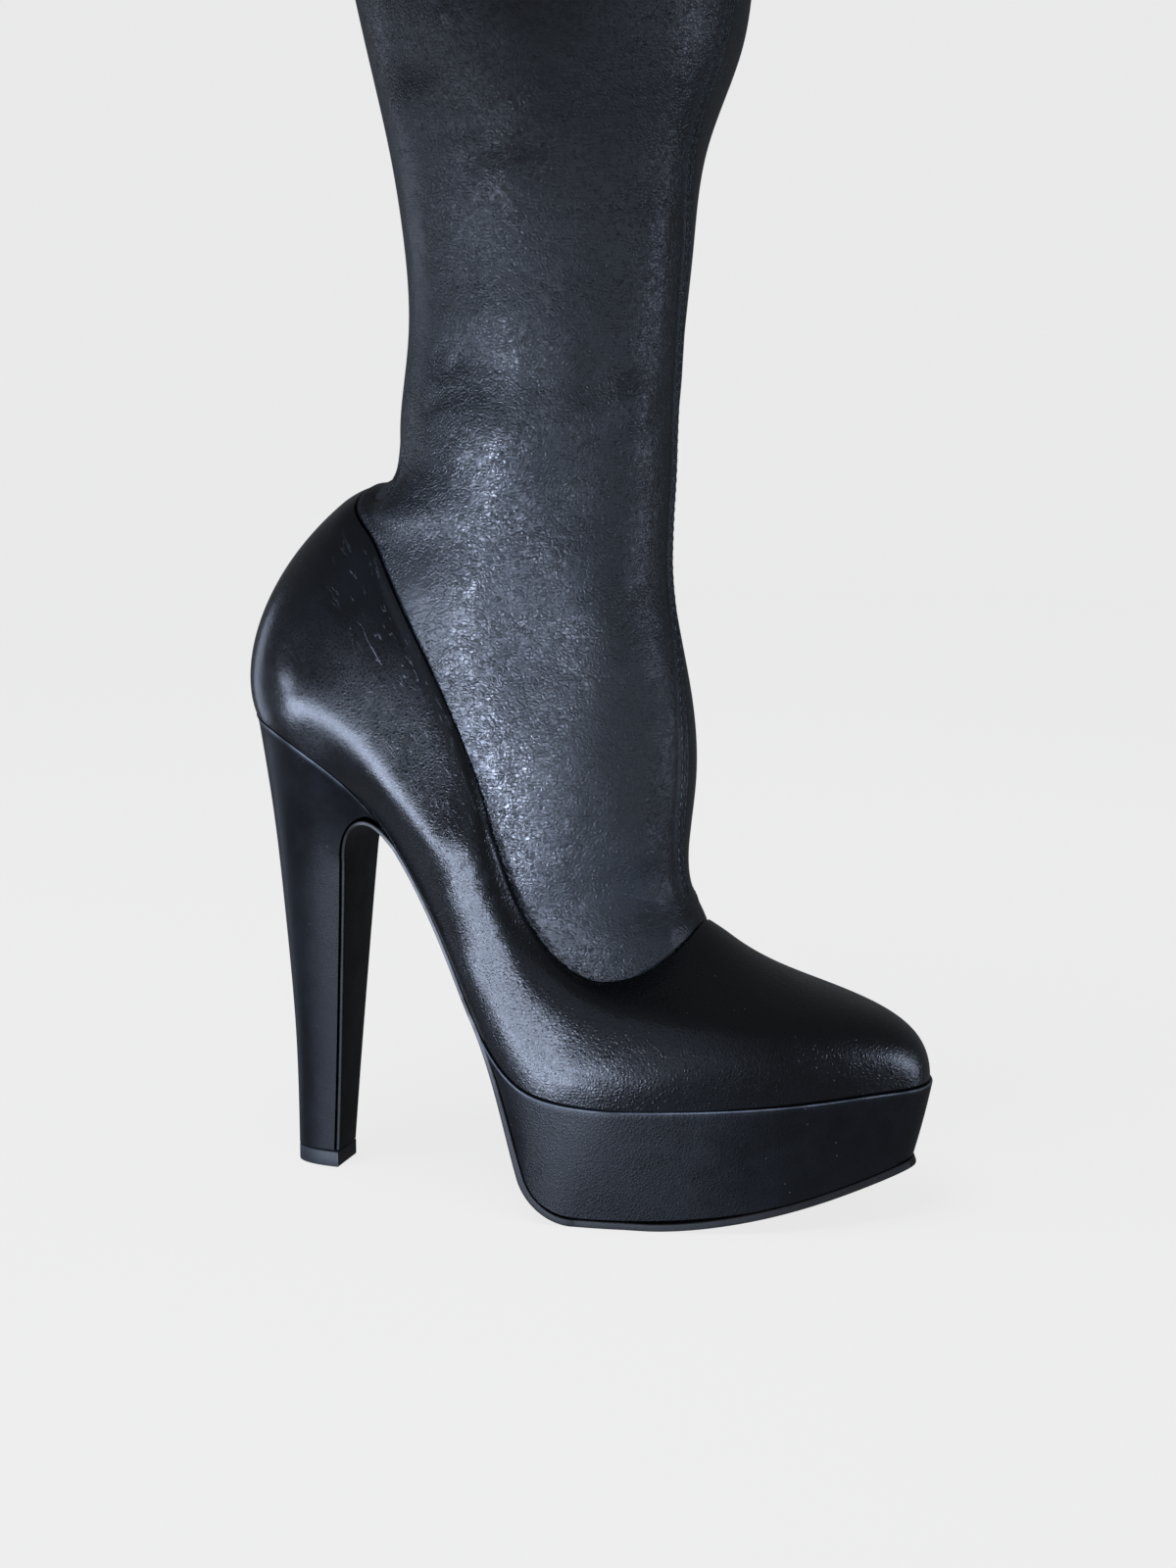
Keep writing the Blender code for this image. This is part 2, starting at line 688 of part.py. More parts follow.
pump_leather = add_material("polished_black_leather", (0.010, 0.011, 0.013), 0.30)
shaft_leather = add_material("soft_black_nappa", (0.020, 0.022, 0.026), 0.45)
board = add_material("insole_board", (0.030, 0.028, 0.026), 0.75)
cover_leather = add_material("cover_black_leather", (0.012, 0.013, 0.016), 0.35)
sole_leather = add_material("black_sole_leather", (0.016, 0.014, 0.013), 0.45)
lift_rubber = add_material("black_rubber", (0.025, 0.026, 0.028), 0.60)

toe_to_flat = forefoot_stations()
platform_rear = rear_stations()
waist = waist_stations()
flap = flap_stations(waist[-1])
sole = toe_to_flat + platform_rear + waist + flap

add_shell("upper", upper_surface, np.linspace(0.0, 1.0, UPPER_ROWS + 1), UPPER_WALL, pump_leather)
shaft_rows = np.linspace(0.0, 1.0, SHAFT_ROWS + 1) ** SHAFT_ROW_CROWDING
add_shell("shaft", shaft_surface, shaft_rows, SHAFT_WALL, shaft_leather)
add_piece("insole", *build_insole(), board, False)
add_piece("platform", *build_platform(sole, len(toe_to_flat) + len(platform_rear)), cover_leather, False)
add_piece("outsole", *build_outsole(sole), sole_leather, False)
add_piece("heel", *build_heel(flap), cover_leather, True)
add_piece("top_piece", *build_top_piece(), lift_rubber, False)
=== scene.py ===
"""Dressed model of a black platform knee-high boot for the right foot.

Tables and sizes are millimetres on the last, with the toe along +X, the outer side of the leg
along -Y and the shaft up along +Z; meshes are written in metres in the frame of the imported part.
Stations round the boot are angles in degrees: 0 at the back, 90 at the outer side, 180 at the
toe and front, 270 at the inner side.
"""

import logging
from dataclasses import dataclass
from enum import Enum
from functools import partial
from typing import Callable, NamedTuple, Optional, Sequence, Union

import bmesh
import bpy
import numpy as np
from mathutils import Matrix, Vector


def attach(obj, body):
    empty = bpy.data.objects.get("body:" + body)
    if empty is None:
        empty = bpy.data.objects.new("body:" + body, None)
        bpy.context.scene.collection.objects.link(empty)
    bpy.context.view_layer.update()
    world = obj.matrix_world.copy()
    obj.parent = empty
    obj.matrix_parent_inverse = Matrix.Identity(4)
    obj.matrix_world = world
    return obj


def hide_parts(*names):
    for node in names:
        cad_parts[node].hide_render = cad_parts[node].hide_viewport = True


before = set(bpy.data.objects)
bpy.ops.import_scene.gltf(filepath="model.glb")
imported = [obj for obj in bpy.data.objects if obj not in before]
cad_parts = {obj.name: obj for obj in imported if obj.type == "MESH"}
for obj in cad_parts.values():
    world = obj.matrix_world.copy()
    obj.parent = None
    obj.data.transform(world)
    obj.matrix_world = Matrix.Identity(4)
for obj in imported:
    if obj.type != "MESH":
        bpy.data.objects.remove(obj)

MM = 0.001
FRAME_SHIFT = -1.77
RING_SAMPLES = 4321
EDGE_SAMPLES = 721
WELD_GAP = 2e-6
SLIVER_GAP = 1e-6
SHEET_CORNER_POINTS = 5
SHEET_ROUND_DEEP = 0.49
SHEET_ROUND_WIDE = 0.45
LOG = logging.getLogger("boot")

Array = np.ndarray
Piece = bpy.types.Object
Pair = tuple[float, float]
Triple = tuple[float, float, float]
Colour = tuple[float, float, float, float]


def srgb(code: str) -> Colour:
    """Linear colour of a screen colour code.

    Args:
        code: six hexadecimal digits, red first.

    Returns:
        Red, green, blue and alpha as linear shares.
    """
    screen = np.array([int(code[place:place + 2], 16) for place in (0, 2, 4)]) / 255.0
    linear = np.where(screen <= 0.04045, screen / 12.92, ((screen + 0.055) / 1.055) ** 2.4)
    return (float(linear[0]), float(linear[1]), float(linear[2]), 1.0)


def ease(low: float, high: float, where: Array) -> Array:
    """Smooth step from 0 at low to 1 at high."""
    share = np.clip((where - low) / (high - low), 0.0, 1.0)
    return share * share * (3.0 - 2.0 * share)


def points(forward: Array, side: Array, up: Array) -> Array:
    """Three coordinate arrays stacked into points."""
    return np.stack(np.broadcast_arrays(forward, side, up), axis=-1).astype(float)


def unit(ways: Array) -> Array:
    """Vectors brought to length one."""
    return ways / np.maximum(np.linalg.norm(ways, axis=-1, keepdims=True), 1e-12)


class Spline:
    """Smooth cubic through a table column, with a steady bend from row to row."""

    def __init__(self, knots: Array, values: Array, period: Optional[float] = None) -> None:
        """Solve the bends at the knots.

        Args:
            knots: rising places of the table rows.
            values: value of each row.
            period: length after which the curve closes on itself, if it does.
        """
        knots = np.asarray(knots, dtype=float)
        values = np.asarray(values, dtype=float)
        if period:
            knots = np.append(knots, knots[0] + period)
            values = np.append(values, values[0])
        spans = np.diff(knots)
        slopes = np.diff(values) / spans
        middle = np.concatenate(([1.0], 2.0 * (spans[:-1] + spans[1:]), [1.0]))
        below = np.append(spans[:-1], 0.0)
        above = np.append(0.0, spans[1:])
        matrix = np.diag(middle) + np.diag(below, -1) + np.diag(above, 1)
        right = np.concatenate(([0.0], 6.0 * np.diff(slopes), [0.0]))
        if period:
            matrix[0, -1] = -1.0
            matrix[-1] = 0.0
            matrix[-1, -2:] = (spans[-1], 2.0 * spans[-1])
            matrix[-1, :2] += (2.0 * spans[0], spans[0])
            right[-1] = 6.0 * (slopes[0] - slopes[-1])
        self.knots, self.values, self.spans, self.period = knots, values, spans, period
        self.bend = np.linalg.solve(matrix, right)

    def __call__(self, where: Array) -> Array:
        """Value of the curve.

        Args:
            where: places along the knots, of any shape.

        Returns:
            Values of the same shape.
        """
        where = np.asarray(where, dtype=float)
        if self.period:
            where = self.knots[0] + np.mod(where - self.knots[0], self.period)
        cell = np.clip(np.searchsorted(self.knots, where, side="right") - 1, 0, len(self.spans) - 1)
        span = self.spans[cell]
        after = where - self.knots[cell]
        before = span - after
        low, high = self.bend[cell], self.bend[cell + 1]
        cubic = (low * before ** 3 + high * after ** 3) / (6.0 * span)
        left = (self.values[cell] / span - low * span / 6.0) * before
        return cubic + left + (self.values[cell + 1] / span - high * span / 6.0) * after


class LegRow(NamedTuple):
    """Leg at one height: its back, front and half width."""

    height: float
    back: float
    front: float
    half_width: float


class ToplineRow(NamedTuple):
    """Height of the upper's top edge at one station."""

    angle: float
    height: float


class FeatherRow(NamedTuple):
    """Lower edge of the upper at one station."""

    angle: float
    forward: float
    height: float
    lateral: float
    medial: float


class SwellRow(NamedTuple):
    """Pulls that swell the upper between its two edges at one station."""

    angle: float
    low_out: float
    low_up: float
    high_out: float
    high_up: float


class BreastRow(NamedTuple):
    """Heel at one share of its breast: half width, and the height reached at its back."""

    share: float
    half_width: float
    back_height: float


LEG = tuple(LegRow(*row) for row in (
    (60.0, -67.0, 42.0, 34.0), (80.0, -67.5, 41.0, 34.5), (88.0, -67.8, 38.6, 34.6),
    (96.0, -68.0, 34.6, 34.8), (105.0, -68.2, 33.2, 35.0), (130.0, -68.5, 35.3, 36.0),
    (155.0, -69.0, 33.9, 36.0), (175.0, -69.3, 30.0, 35.5), (195.0, -69.8, 27.3, 35.0),
    (205.0, -70.8, 27.4, 34.7), (212.0, -71.4, 27.7, 34.5), (217.0, -65.6, 28.0, 34.2),
    (223.0, -59.0, 28.3, 34.0), (235.0, -55.8, 28.7, 33.8), (262.0, -52.7, 30.5, 34.5),
    (290.0, -53.6, 33.3, 37.0), (318.0, -57.8, 37.3, 41.5), (346.0, -64.0, 47.2, 48.0),
    (362.0, -67.5, 49.8, 51.0), (400.0, -74.5, 51.0, 55.0), (440.0, -76.5, 51.0, 57.0),
    (505.0, -75.0, 50.0, 57.0),
))

TOPLINE = tuple(ToplineRow(*row) for row in (
    (0, 216.3), (30, 211.5), (45, 201.6), (60, 183.5), (75, 159.0), (90, 124.0), (97, 105.0),
    (103, 90.5), (110, 80.5), (120, 75.4), (135, 76.6), (150, 81.6), (165, 86.4), (180, 88.4),
))

FEATHER = tuple(FeatherRow(*row) for row in (
    (0, -103.4, 147.0, 0.0, 0.0), (15, -101.0, 146.2, 13.5, 13.0), (30, -92.6, 143.3, 22.0, 21.0),
    (45, -76.3, 134.6, 26.0, 24.5), (60, -52.5, 110.5, 23.0, 20.0), (70, -33.6, 78.6, 27.0, 22.0),
    (77, -20.5, 56.0, 34.0, 27.0), (83, -9.1, 44.3, 39.0, 32.0), (90, 3.5, 40.0, 42.0, 37.0),
    (105, 31.0, 39.0, 41.0, 40.0), (120, 57.0, 40.1, 36.0, 37.0), (135, 78.5, 41.4, 28.0, 30.5),
    (150, 94.5, 42.4, 18.0, 21.5), (165, 105.0, 42.6, 8.8, 11.0), (180, 108.3, 42.7, 0.0, 0.0),
))

SWELL = tuple(SwellRow(*row) for row in (
    (0, 6.2, 16.0, 32.0, -22.8), (15, 6.4, 16.0, 28.6, -22.8), (30, 6.0, 16.0, 19.0, -23.0),
    (45, 8.0, 15.0, 12.0, -22.0), (60, 12.0, 14.0, 8.0, -22.0), (75, 11.0, 20.0, 5.0, -24.0),
    (90, 6.0, 26.0, 4.0, -28.0), (105, 4.0, 22.0, 8.0, -16.0), (120, 3.0, 22.0, 14.0, -8.0),
    (135, 2.2, 23.5, 18.0, -11.0), (150, 1.4, 25.0, 22.0, -18.5), (165, 0.6, 27.0, 25.0, -24.5),
    (180, 0.0, 28.0, 26.0, -26.5),
))

BREAST = tuple(BreastRow(*row) for row in (
    (0.0, 7.5, 5.6), (0.1, 8.0, 15.0), (0.25, 8.8, 29.5), (0.4, 9.8, 44.0), (0.55, 10.9, 58.5),
    (0.7, 12.0, 73.0), (0.85, 13.2, 88.0), (1.0, 14.6, 103.0),
))

HEEL_BACK = ((5.0, -94.2), (20.0, -94.2), (39.0, -94.5), (58.0, -95.4), (77.0, -96.9), (96.0, -98.4),
             (115.0, -100.1), (133.0, -102.4), (143.0, -103.2), (147.0, -103.7))
DRAFT = ((90.0, 3.5), (120.0, 4.2), (150.0, 4.4), (180.0, 4.4))


def column(table: Sequence[tuple], name: str) -> Array:
    """One named column of a table."""
    return np.array([getattr(row, name) for row in table], dtype=float)


def around(table: Sequence[tuple], outer: str, inner: str = "", inner_sign: float = 1.0) -> Spline:
    """Spline of a half-turn table carried round the whole boot.

    Args:
        table: rows with an angle from 0 to 180.
        outer: column used on the outer side.
        inner: column used on the inner side; the same one where left empty.
        inner_sign: factor on the inner side.

    Returns:
        A closed spline over 360 degrees.
    """
    angles = column(table, "angle")
    back = inner_sign * column(table, inner or outer)[-2:0:-1]
    return Spline(np.append(angles, 360.0 - angles[-2:0:-1]), np.append(column(table, outer), back), 360.0)


def cubic_curve(start: Array, start_pull: Array, end_pull: Array, end: Array, t: Array) -> Array:
    """Cubic curve from start to end, drawn towards two pulling points on its way."""
    left = 1.0 - t
    return left ** 3 * start + 3 * t * left ** 2 * start_pull + 3 * t ** 2 * left * end_pull + t ** 3 * end


@dataclass
class Last:
    """Shape that the boot is pulled over: leg, topline, feather edge and the pieces' clearances."""

    boot_height: float = 505.0
    seat_gap: float = 0.35
    upper_wall: float = 1.6
    shaft_wall: float = 1.2
    shaft_tuck: float = 8.0
    toe_swing: float = 5.0
    toe_swing_start: float = 20.0
    toe_swing_length: float = 90.0
    slope_step: float = 0.25

    def __post_init__(self) -> None:
        """Draw the splines through the tables."""
        heights = column(LEG, "height")
        self.leg_back = Spline(heights, column(LEG, "back"))
        self.leg_front = Spline(heights, column(LEG, "front"))
        self.leg_half = Spline(heights, column(LEG, "half_width"))
        self.topline_height = around(TOPLINE, "height")
        self.feather_forward = around(FEATHER, "forward")
        self.feather_height = around(FEATHER, "height")
        self.feather_side = around(FEATHER, "lateral", "medial", -1.0)
        self.swell = {name: around(SWELL, name) for name in SwellRow._fields[1:]}
        self.heel_back = Spline(*np.array(HEEL_BACK).T)

    def leg(self, height: Array, angle: Array) -> Array:
        """Leg surface: an ellipse at each height between its back, front and half width.

        Args:
            height: heights over the floor.
            angle: stations round the leg.

        Returns:
            Points on the leg.
        """
        back, front = self.leg_back(height), self.leg_front(height)
        turn = np.radians(angle)
        forward = (back + front) / 2.0 - (front - back) / 2.0 * np.cos(turn)
        return points(forward, -self.leg_half(height) * np.sin(turn), height)

    def leg_outward(self, height: Array, angle: Array) -> Array:
        """Level normal of the leg, across the ellipse at each height.

        Args:
            height: heights over the floor.
            angle: stations round the leg.

        Returns:
            Unit vectors away from the leg.
        """
        depth = (self.leg_front(height) - self.leg_back(height)) / 2.0
        turn = np.radians(angle)
        return unit(points(-self.leg_half(height) * np.cos(turn), -depth * np.sin(turn), 0.0 * turn))

    def feather(self, angle: Array) -> Array:
        """Lower edge of the upper, leaning to the inner side towards the toe.

        Args:
            angle: stations round the boot.

        Returns:
            Points of the edge.
        """
        forward = self.feather_forward(angle)
        lean = self.toe_swing * ease(0.0, 1.0, (forward - self.toe_swing_start) / self.toe_swing_length)
        return points(forward, lean - self.feather_side(angle), self.feather_height(angle))

    def feather_outward(self, angle: Array) -> Array:
        """Level normal of the feather edge, away from the boot."""
        way = self.feather(angle + self.slope_step) - self.feather(angle - self.slope_step)
        return unit(points(way[..., 1], -way[..., 0], 0.0 * way[..., 2]))

    def topline(self, angle: Array) -> Array:
        """Upper edge of the upper, just outside the leg."""
        height = self.topline_height(angle)
        return self.leg(height, angle) + self.leg_outward(height, angle) * (self.upper_wall + self.seat_gap)

    def upper(self, share: Array, angle: Array) -> Array:
        """Upper surface: a cubic curve from feather edge to topline, swollen by the pulls of the table.

        Args:
            share: 0 at the feather edge, 1 at the topline.
            angle: stations round the boot.

        Returns:
            Points on the outside of the upper.
        """
        low, high = self.feather(angle), self.topline(angle)
        turn = np.radians(angle)
        away = points(-np.cos(turn), -np.sin(turn), 0.0 * turn)
        lift = np.array((0.0, 0.0, 1.0))
        pull = {name: curve(angle)[..., None] for name, curve in self.swell.items()}
        low_pull = low + away * pull["low_out"] + lift * pull["low_up"]
        high_pull = high + away * pull["high_out"] + lift * pull["high_up"]
        return cubic_curve(low, low_pull, high_pull, high, share[..., None])

    def shaft(self, share: Array, angle: Array) -> Array:
        """Shaft surface: the leg from a little below the topline, inside the upper, to the boot's top."""
        start = self.topline_height(angle) - self.shaft_tuck
        return self.leg(start + (self.boot_height - start) * share, angle)

    def side_view(self, angle: Array) -> Array:
        """Forward and height of the feather edge, as seen from the side."""
        return np.stack((self.feather_forward(angle), self.feather_height(angle)), axis=-1)

    def below_feather(self, angle: Array, drop: float) -> Array:
        """Points square below the feather edge, as seen from the side.

        Args:
            angle: stations.
            drop: distance below the edge.

        Returns:
            Forward and height pairs.
        """
        ahead = unit(self.side_view(angle + self.slope_step) - self.side_view(angle - self.slope_step))
        return self.side_view(angle) + drop * np.stack((ahead[..., 1], -ahead[..., 0]), axis=-1)


LAST = Last()


def placed(spots: Array) -> Array:
    """Points of the last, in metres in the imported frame."""
    return (spots + np.array((FRAME_SHIFT, 0.0, 0.0))) * MM


def grid_normals(grid: Array) -> Array:
    """Outward normals of a grid of closed rings.

    Args:
        grid: rows by columns of points; rows rise, columns run from the back by the outer side.

    Returns:
        Unit normals of the same shape.
    """
    across = np.roll(grid, -1, axis=1) - np.roll(grid, 1, axis=1)
    along = np.gradient(grid, axis=0)
    return unit(np.cross(across, along))


def relaxed(grid: Array, slack: Array, rounds: int) -> Array:
    """Grid of closed rings whose points settle towards the middle of their neighbours.

    Args:
        grid: rows by columns of points.
        slack: share of the way to the middle that each point goes in a round; 0 holds it.
        rounds: number of rounds.

    Returns:
        The settled grid.
    """
    hold = slack[..., None]
    for _ in range(rounds):
        up = np.concatenate((grid[1:], grid[-1:]))
        down = np.concatenate((grid[:1], grid[:-1]))
        middle = (np.roll(grid, 1, axis=1) + np.roll(grid, -1, axis=1) + up + down) / 4.0
        grid = grid + hold * (middle - grid)
    return grid


def eased_rows(grid: Array, weight: Array, rounds: int) -> Array:
    """Grid whose rows settle between the rows before and after, which rounds off a kink along it.

    Args:
        grid: rows of values or points.
        weight: how freely each place settles, from 0 to 1, to be broadcast over the grid.
        rounds: number of rounds.

    Returns:
        The smoother grid; its first and last rows stay.
    """
    grid = grid.copy()
    free = 0.5 * np.broadcast_to(weight, grid.shape)[1:-1]
    for _ in range(rounds):
        grid[1:-1] += free * ((grid[:-2] + grid[2:]) / 2.0 - grid[1:-1])
    return grid


def even_columns(ring: Callable[[Array], Array], count: int, crowd: Callable[[Array], Array]) -> Array:
    """Stations spaced evenly along a ring, closer together where a piece has fine detail.

    Args:
        ring: points of the ring at given angles.
        count: number of stations.
        crowd: factor on the number of stations at given angles.

    Returns:
        Rising angles from 0, short of 360.
    """
    fine = np.linspace(0.0, 360.0, RING_SAMPLES)
    steps = np.linalg.norm(np.diff(ring(fine), axis=0), axis=1) * crowd((fine[1:] + fine[:-1]) / 2.0)
    run = np.append(0.0, np.cumsum(steps))
    return np.interp(np.linspace(0.0, run[-1], count, endpoint=False), run, fine)


def ring_quads(rows: int, wide: int, wrap_rows: bool = False) -> Array:
    """Quads between the rings of a grid, each from a point to its neighbours round and up.

    Args:
        rows: number of rings.
        wide: points on a ring.
        wrap_rows: also join the last ring to the first.

    Returns:
        Four corner numbers for each quad, ring by ring.
    """
    index = np.arange(rows * wide).reshape(rows, wide)
    if wrap_rows:
        index = np.vstack((index, index[:1]))
    low, high = index[:-1], index[1:]
    return np.stack((low, np.roll(low, -1, 1), np.roll(high, -1, 1), high), axis=-1).reshape(-1, 4)


def smooth_object(name: str, mesh: bpy.types.Mesh) -> Piece:
    """Object of a mesh with smooth faces.

    Args:
        name: name of the piece.
        mesh: its mesh.

    Returns:
        The object, linked to the scene.
    """
    mesh.polygons.foreach_set("use_smooth", np.ones(len(mesh.polygons), dtype=bool))
    piece = bpy.data.objects.new(name, mesh)
    bpy.context.scene.collection.objects.link(piece)
    return piece


def grid_object(name: str, grid: Array, wrap_rows: bool = False, inside_from: int = 0) -> Piece:
    """Smooth mesh of a grid whose columns close into rings.

    Args:
        name: name of the piece.
        grid: rows by columns of points in metres, facing outwards.
        wrap_rows: also join the last row to the first, which closes the wall.
        inside_from: first row of the inside, whose faces take the second material; 0 for none.

    Returns:
        The object, linked to the scene.
    """
    rows, wide = grid.shape[:2]
    faces = ring_quads(rows, wide, wrap_rows)
    mesh = bpy.data.meshes.new(name)
    mesh.vertices.add(rows * wide)
    mesh.vertices.foreach_set("co", grid.reshape(-1).astype(np.float32))
    mesh.loops.add(faces.size)
    mesh.loops.foreach_set("vertex_index", faces.reshape(-1).astype(np.int32))
    mesh.polygons.add(len(faces))
    mesh.polygons.foreach_set("loop_start", np.arange(0, faces.size, 4, dtype=np.int32))
    if inside_from:
        row_of = np.arange(len(faces)) // wide
        mesh.polygons.foreach_set("material_index", (row_of >= inside_from).astype(np.int32))
    piece = smooth_object(name, mesh)
    mesh.update(calc_edges=True)
    mesh.validate()
    return piece


def loft_object(name: str, sections: Array, sharp: float, edge: Optional[Array] = None) -> Piece:
    """Closed body through sections of equal corner counts, each end ruled across between its halves.

    Args:
        name: name of the piece.
        sections: sections by corners of points in metres; corner k faces corner count - 1 - k.
        sharp: angle in degrees over which an edge is shown sharp.
        edge: weight of each corner for the finish, from 0 to 1, which paints a pale highlight there and
            makes it glossier.

    Returns:
        The object, linked to the scene, welded and facing outwards.
    """
    count, wide = sections.shape[:2]
    half = np.arange(wide // 2 - 1)
    end = np.stack((half, half + 1, wide - 2 - half, wide - 1 - half), axis=-1)
    faces = np.concatenate((ring_quads(count, wide), end, end + (count - 1) * wide))
    mesh = bpy.data.meshes.new(name)
    mesh.from_pydata(sections.reshape(-1, 3), [], faces.tolist())
    if edge is not None:
        layer = mesh.attributes.new("edge", "FLOAT", "POINT")
        layer.data.foreach_set("value", np.broadcast_to(edge, (count, wide)).astype(np.float32).reshape(-1))
    body = bmesh.new()
    body.from_mesh(mesh)
    bmesh.ops.remove_doubles(body, verts=body.verts, dist=WELD_GAP)
    bmesh.ops.dissolve_degenerate(body, edges=body.edges, dist=SLIVER_GAP)
    bmesh.ops.recalc_face_normals(body, faces=body.faces)
    body.to_mesh(mesh)
    body.free()
    piece = smooth_object(name, mesh)
    mesh.set_sharp_from_angle(angle=np.radians(sharp))
    return piece


def add_attribute(piece: Piece, name: str, values: Array) -> None:
    """Float attribute of a piece, one value for each of its points."""
    layer = piece.data.attributes.new(name, "FLOAT", "POINT")
    layer.data.foreach_set("value", np.ascontiguousarray(values, dtype=np.float32).reshape(-1))


class Crease(NamedTuple):
    """Soft trough or ridge drawn through stations of a surface."""

    path: tuple[Pair, ...]
    width: float
    depth: float
    lip: float = 0.35


class Swelling(NamedTuple):
    """Broad soft rise or hollow of a surface."""

    angle: float
    place: float
    reach_round: float
    reach_up: float
    rise: float


def patches(surface: Callable[[Array, Array], Array], grid: Array, spots: Sequence[Swelling]) -> Array:
    """Soft patches on a surface, each a bell of two reaches.

    Args:
        surface: the plain surface, by place and angle.
        grid: points of the surface, rows by columns.
        spots: the patches; their rise is the value at the middle.

    Returns:
        Sum of the patches at each point.
    """
    total = np.zeros(grid.shape[:-1])
    for spot in spots:
        gap = grid - surface(np.array(float(spot.place)), np.array(float(spot.angle)))
        level = np.hypot(gap[..., 0], gap[..., 1]) / spot.reach_round
        total += spot.rise * np.exp(-level ** 2 - (gap[..., 2] / spot.reach_up) ** 2)
    return total


@dataclass
class Relief:
    """Folds that are listed one by one and laid on a surface."""

    surface: Callable[[Array, Array], Array]
    creases: Sequence[Crease] = ()
    fade: float = 0.3
    path_points: int = 28
    reach: float = 4.0
    lip_place: float = 1.9
    lip_width: float = 0.9

    def height(self, grid: Array) -> Array:
        """Rise of the surface over its plain form: the sum of its creases.

        Args:
            grid: points of the plain surface, rows by columns.

        Returns:
            Rise at each point, in millimetres.
        """
        rise = np.zeros(grid.shape[:2])
        for crease in self.creases:
            rise += self._crease(grid, crease)
        return rise

    def _path(self, crease: Crease) -> Array:
        """Path of a crease on the surface: a spline through its stations.

        Args:
            crease: the crease.

        Returns:
            Points from its start to its end.
        """
        stations = np.array(crease.path, dtype=float)
        run = np.linspace(0.0, 1.0, len(stations))
        fine = np.linspace(0.0, 1.0, self.path_points)
        angle, place = (Spline(run, stations[:, k])(fine) for k in (0, 1))
        return self.surface(place, angle)

    def _crease(self, grid: Array, crease: Crease) -> Array:
        """Rise that one crease gives to the grid.

        Its section is a trough, a bell of the distance to the path, with a lower lip beside it; the
        crease fades out to both ends.

        Args:
            grid: points of the plain surface, rows by columns.
            crease: the crease.

        Returns:
            Rise at each point, in millimetres.
        """
        path = self._path(crease)
        reach = self.reach * crease.width
        near = np.all((grid > path.min(0) - reach) & (grid < path.max(0) + reach), axis=-1)
        rise = np.zeros(grid.shape[:2])
        spots = grid[near]
        if not len(spots):
            return rise
        start, way = path[:-1], np.diff(path, axis=0)
        gap = spots[:, None, :] - start
        share = np.clip(np.sum(gap * way, -1) / np.sum(way * way, -1), 0.0, 1.0)
        far = np.linalg.norm(gap - share[..., None] * way, axis=-1)
        best = np.argmin(far, axis=1)
        pick = np.arange(len(spots))
        off = far[pick, best] / crease.width
        along = (best + share[pick, best]) / len(way)
        taper = ease(0.0, self.fade, along) * ease(0.0, self.fade, 1.0 - along)
        lip = crease.lip * np.exp(-((off - self.lip_place) / self.lip_width) ** 2)
        rise[near] = crease.depth * taper * (lip - np.exp(-off ** 2))
        return rise


Socket = bpy.types.NodeSocket
Inputs = Union[Sequence[object], dict[Union[int, str], object]]
AddNode = Callable[..., Socket]
SMOOTH = {"interpolation_type": "SMOOTHSTEP"}


def add_node(tree: bpy.types.NodeTree, kind: str, inputs: Inputs = (), out: Union[int, str] = 0,
             **settings: object) -> Socket:
    """Add a node with its settings and links.

    Args:
        tree: node tree of the material.
        kind: node type, without the common prefix.
        inputs: values or sockets in the order of the node's inputs, or by their name or number.
        out: name or number of the output that is wanted.
        settings: properties of the node.

    Returns:
        The wanted output.
    """
    node = tree.nodes.new("ShaderNode" + kind)
    for name, value in settings.items():
        setattr(node, name, value)
    for place, value in inputs.items() if isinstance(inputs, dict) else enumerate(inputs):
        if isinstance(value, Socket):
            tree.links.new(value, node.inputs[place])
        else:
            node.inputs[place].default_value = value
    return node.outputs[out]


